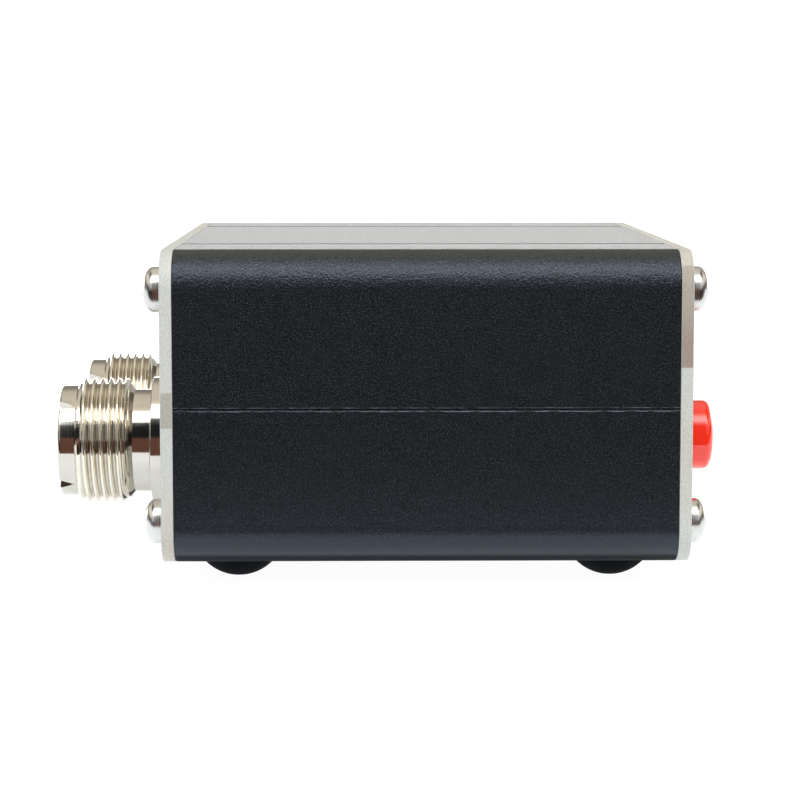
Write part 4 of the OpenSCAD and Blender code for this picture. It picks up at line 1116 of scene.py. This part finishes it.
for socket in SOCKETS:
    socket_insulator(socket)
    socket_contact(socket)

# %% [markdown]
# ## Push button
#
# The red cap is a glossy moulding with a crowned face and a rounded rim. It rides on the moving
# body, so it goes in with the plunger, and its flange stops just short of the circuit board. A
# subdivided cylinder would need holding edges for the rim, while a turned profile has its true
# radius at once.

# %% Button cap
cap_rim_r, cap_rim_end = 0.8 * MM, 78
cap_crown = 0.32 * MM
flange_t = 0.8 * MM
cap_room = 0.05 * MM
stem_w, stem_depth = 3.44 * MM, 4.02 * MM
RIM_STEPS, CROWN_STEPS = 12, 9


def button_cap():
    low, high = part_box("button_cap")
    place = Vector((cap_middle.x, high.y, cap_middle.z))
    length = high.y - low.y
    flange_r = cap_r + flange_w
    rim = arc(cap_r - cap_rim_r, length - cap_crown - cap_rim_r, cap_rim_r, 0, cap_rim_end, RIM_STEPS)
    rim_r, rim_d = rim[-1]
    crown = [(rim_r * x, rim_d + (length - rim_d) * y) for x, y in arc(0, 0, 1, 0, 90, CROWN_STEPS)[1:]]
    profile = [(0, cap_room), (flange_r, cap_room), (flange_r, flange_t), (cap_r, flange_t), *rim, *crown]
    bm = turn(profile, place, (0, -1, 0))
    cutter = bmesh.new()
    post = bmesh.ops.create_cube(cutter, size=1.0)["verts"]
    bmesh.ops.scale(cutter, verts=post, vec=(stem_w, 2 * stem_depth, stem_w))
    bmesh.ops.translate(cutter, verts=post, vec=place)
    bm = carve(bm, cutter)
    finish_piece(bm, "red_push_cap", "button_red", "button_cap", body="button")


button_cap()

# %% [markdown]
# ## Return spring
#
# Inside the switch a wire spring pushes the plunger out again. It is wire that was wound on a rod. A
# curve with a round section would look the same, but a disc that a spin carries around, as it steps
# along the axis, is a mesh at once. On the real switch its rear end stands against the housing, and
# it shortens towards that end as the button goes in.

# %% Return spring
wire_r = 0.2 * MM
coil_turns = 5
COIL_STEPS, WIRE_SIDES = 32, 12


def return_spring():
    low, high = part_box("switch_spring")
    place = middle("switch_spring")
    place.y = low.y
    coil_r, length = (high.x - low.x) / 2 - wire_r, high.y - low.y
    steps = coil_turns * COIL_STEPS
    bm = bmesh.new()
    bmesh.ops.create_circle(bm, cap_ends=True, segments=WIRE_SIDES, radius=wire_r,
                            matrix=Matrix.Translation(place + Vector((coil_r, wire_r, 0))))
    bmesh.ops.spin(bm, geom=bm.faces[:], cent=place, axis=(0, 1, 0), steps=steps,
                   dvec=(0, (length - 2 * wire_r) / steps, 0), angle=coil_turns * 2 * math.pi)
    bmesh.ops.recalc_face_normals(bm, faces=bm.faces[:])
    spring = finish_piece(bm, "return_spring", "spring_steel", "switch_spring")
    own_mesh(spring)


return_spring()

# %% [markdown]
# ## Display window and charging socket
#
# The window is a smoked acrylic sheet with a flange behind the panel, so two outlines are pulled to
# their own depths and united, because light that passes should meet no wall inside. The charging
# socket is a drawn steel shell around a tongue with contacts on both sides. The contacts could be
# stripes of colour, but thin strips catch the light as stamped metal does.

# %% Window
window_fit = 0.02 * MM
window_flange_t = 0.8 * MM
window_rim = 0.2 * MM

bm = bmesh.new()
draw_slot(bm, window_middle, window_size.x, window_size.z, window_r)
pull(bm, front_y, front_y + window_flange_t, window_rim / 2)
lens = bmesh.new()
draw_slot(lens, window_middle, opening_w - 2 * window_fit, opening_h - 2 * window_fit, window_r - window_fit)
pull(lens, front_face_y, front_y + window_flange_t / 2, window_rim)
bm = carve(bm, lens, "UNION")
finish_piece(bm, "display_lens", "window_smoke", "display_window")

# %% Charging socket
port_t, port_rim = 0.3 * MM, 0.1 * MM
port_low, port_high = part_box("charging_socket_shell")

bm = bmesh.new()
draw_slot(bm, port_middle, port_size.x, port_size.z, port_r)
draw_slot(bm, port_middle, port_size.x - 2 * port_t, port_size.z - 2 * port_t, port_r - port_t)
pull(bm, port_low.y, port_high.y, port_rim)
finish_piece(bm, "charging_shell", "spring_steel", "charging_socket_shell")

# %% Charging tongue and its contacts
blade_w, blade_t, blade_edge = 6.7 * MM, 0.7 * MM, 0.15 * MM
base_l = 2.2 * MM
strip_pitch, strip_w, strip_t, strip_l = 0.5 * MM, 0.26 * MM, 0.03 * MM, 3.0 * MM
strip_in = 0.45 * MM
STRIPS = 12
blade_low, blade_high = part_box("charging_socket_tongue")
base_size = size("charging_socket_tongue")

bm = bmesh.new()
draw_slot(bm, port_middle, base_size.x, base_size.z, port_r - port_t)
pull(bm, blade_high.y - base_l, blade_high.y, port_rim)
blade = bmesh.new()
draw_slot(blade, port_middle, blade_w, blade_t, blade_edge)
pull(blade, blade_low.y, blade_high.y - base_l / 2, blade_edge)
join(bm, blade)
finish_piece(bm, "charging_tongue", "switch_black", "charging_socket_tongue")

bm = bmesh.new()
for side in (-1, 1):
    for i in range(STRIPS):
        strip = bmesh.ops.create_cube(bm, size=1.0)["verts"]
        bmesh.ops.scale(bm, verts=strip, vec=(strip_w, strip_l, 2 * strip_t))
        bmesh.ops.translate(bm, verts=strip, vec=(
            port_middle.x + (i - (STRIPS - 1) / 2) * strip_pitch, blade_low.y + strip_in + strip_l / 2,
            port_middle.z + side * blade_t / 2))
bmesh.ops.bevel(bm, geom=bm.edges[:], offset=strip_t / 2, segments=2, profile=0.5, affect="EDGES",
                material=-1)
finish_piece(bm, "charging_contacts", "contact_gold")

# %% [markdown]
# ## Materials of the hidden pieces
#
# What is inside the case keeps the shape that the frame gives it. Each node takes the finish that
# its slot in the record names, so one loop is all that is needed.

# %% Materials for the frame's own nodes
for part in frame["record"]["subparts"]:
    node = frame["nodes"][part["node"]]
    node.data.materials.clear()
    node.data.materials.append(finishes[part["material_slot"]])
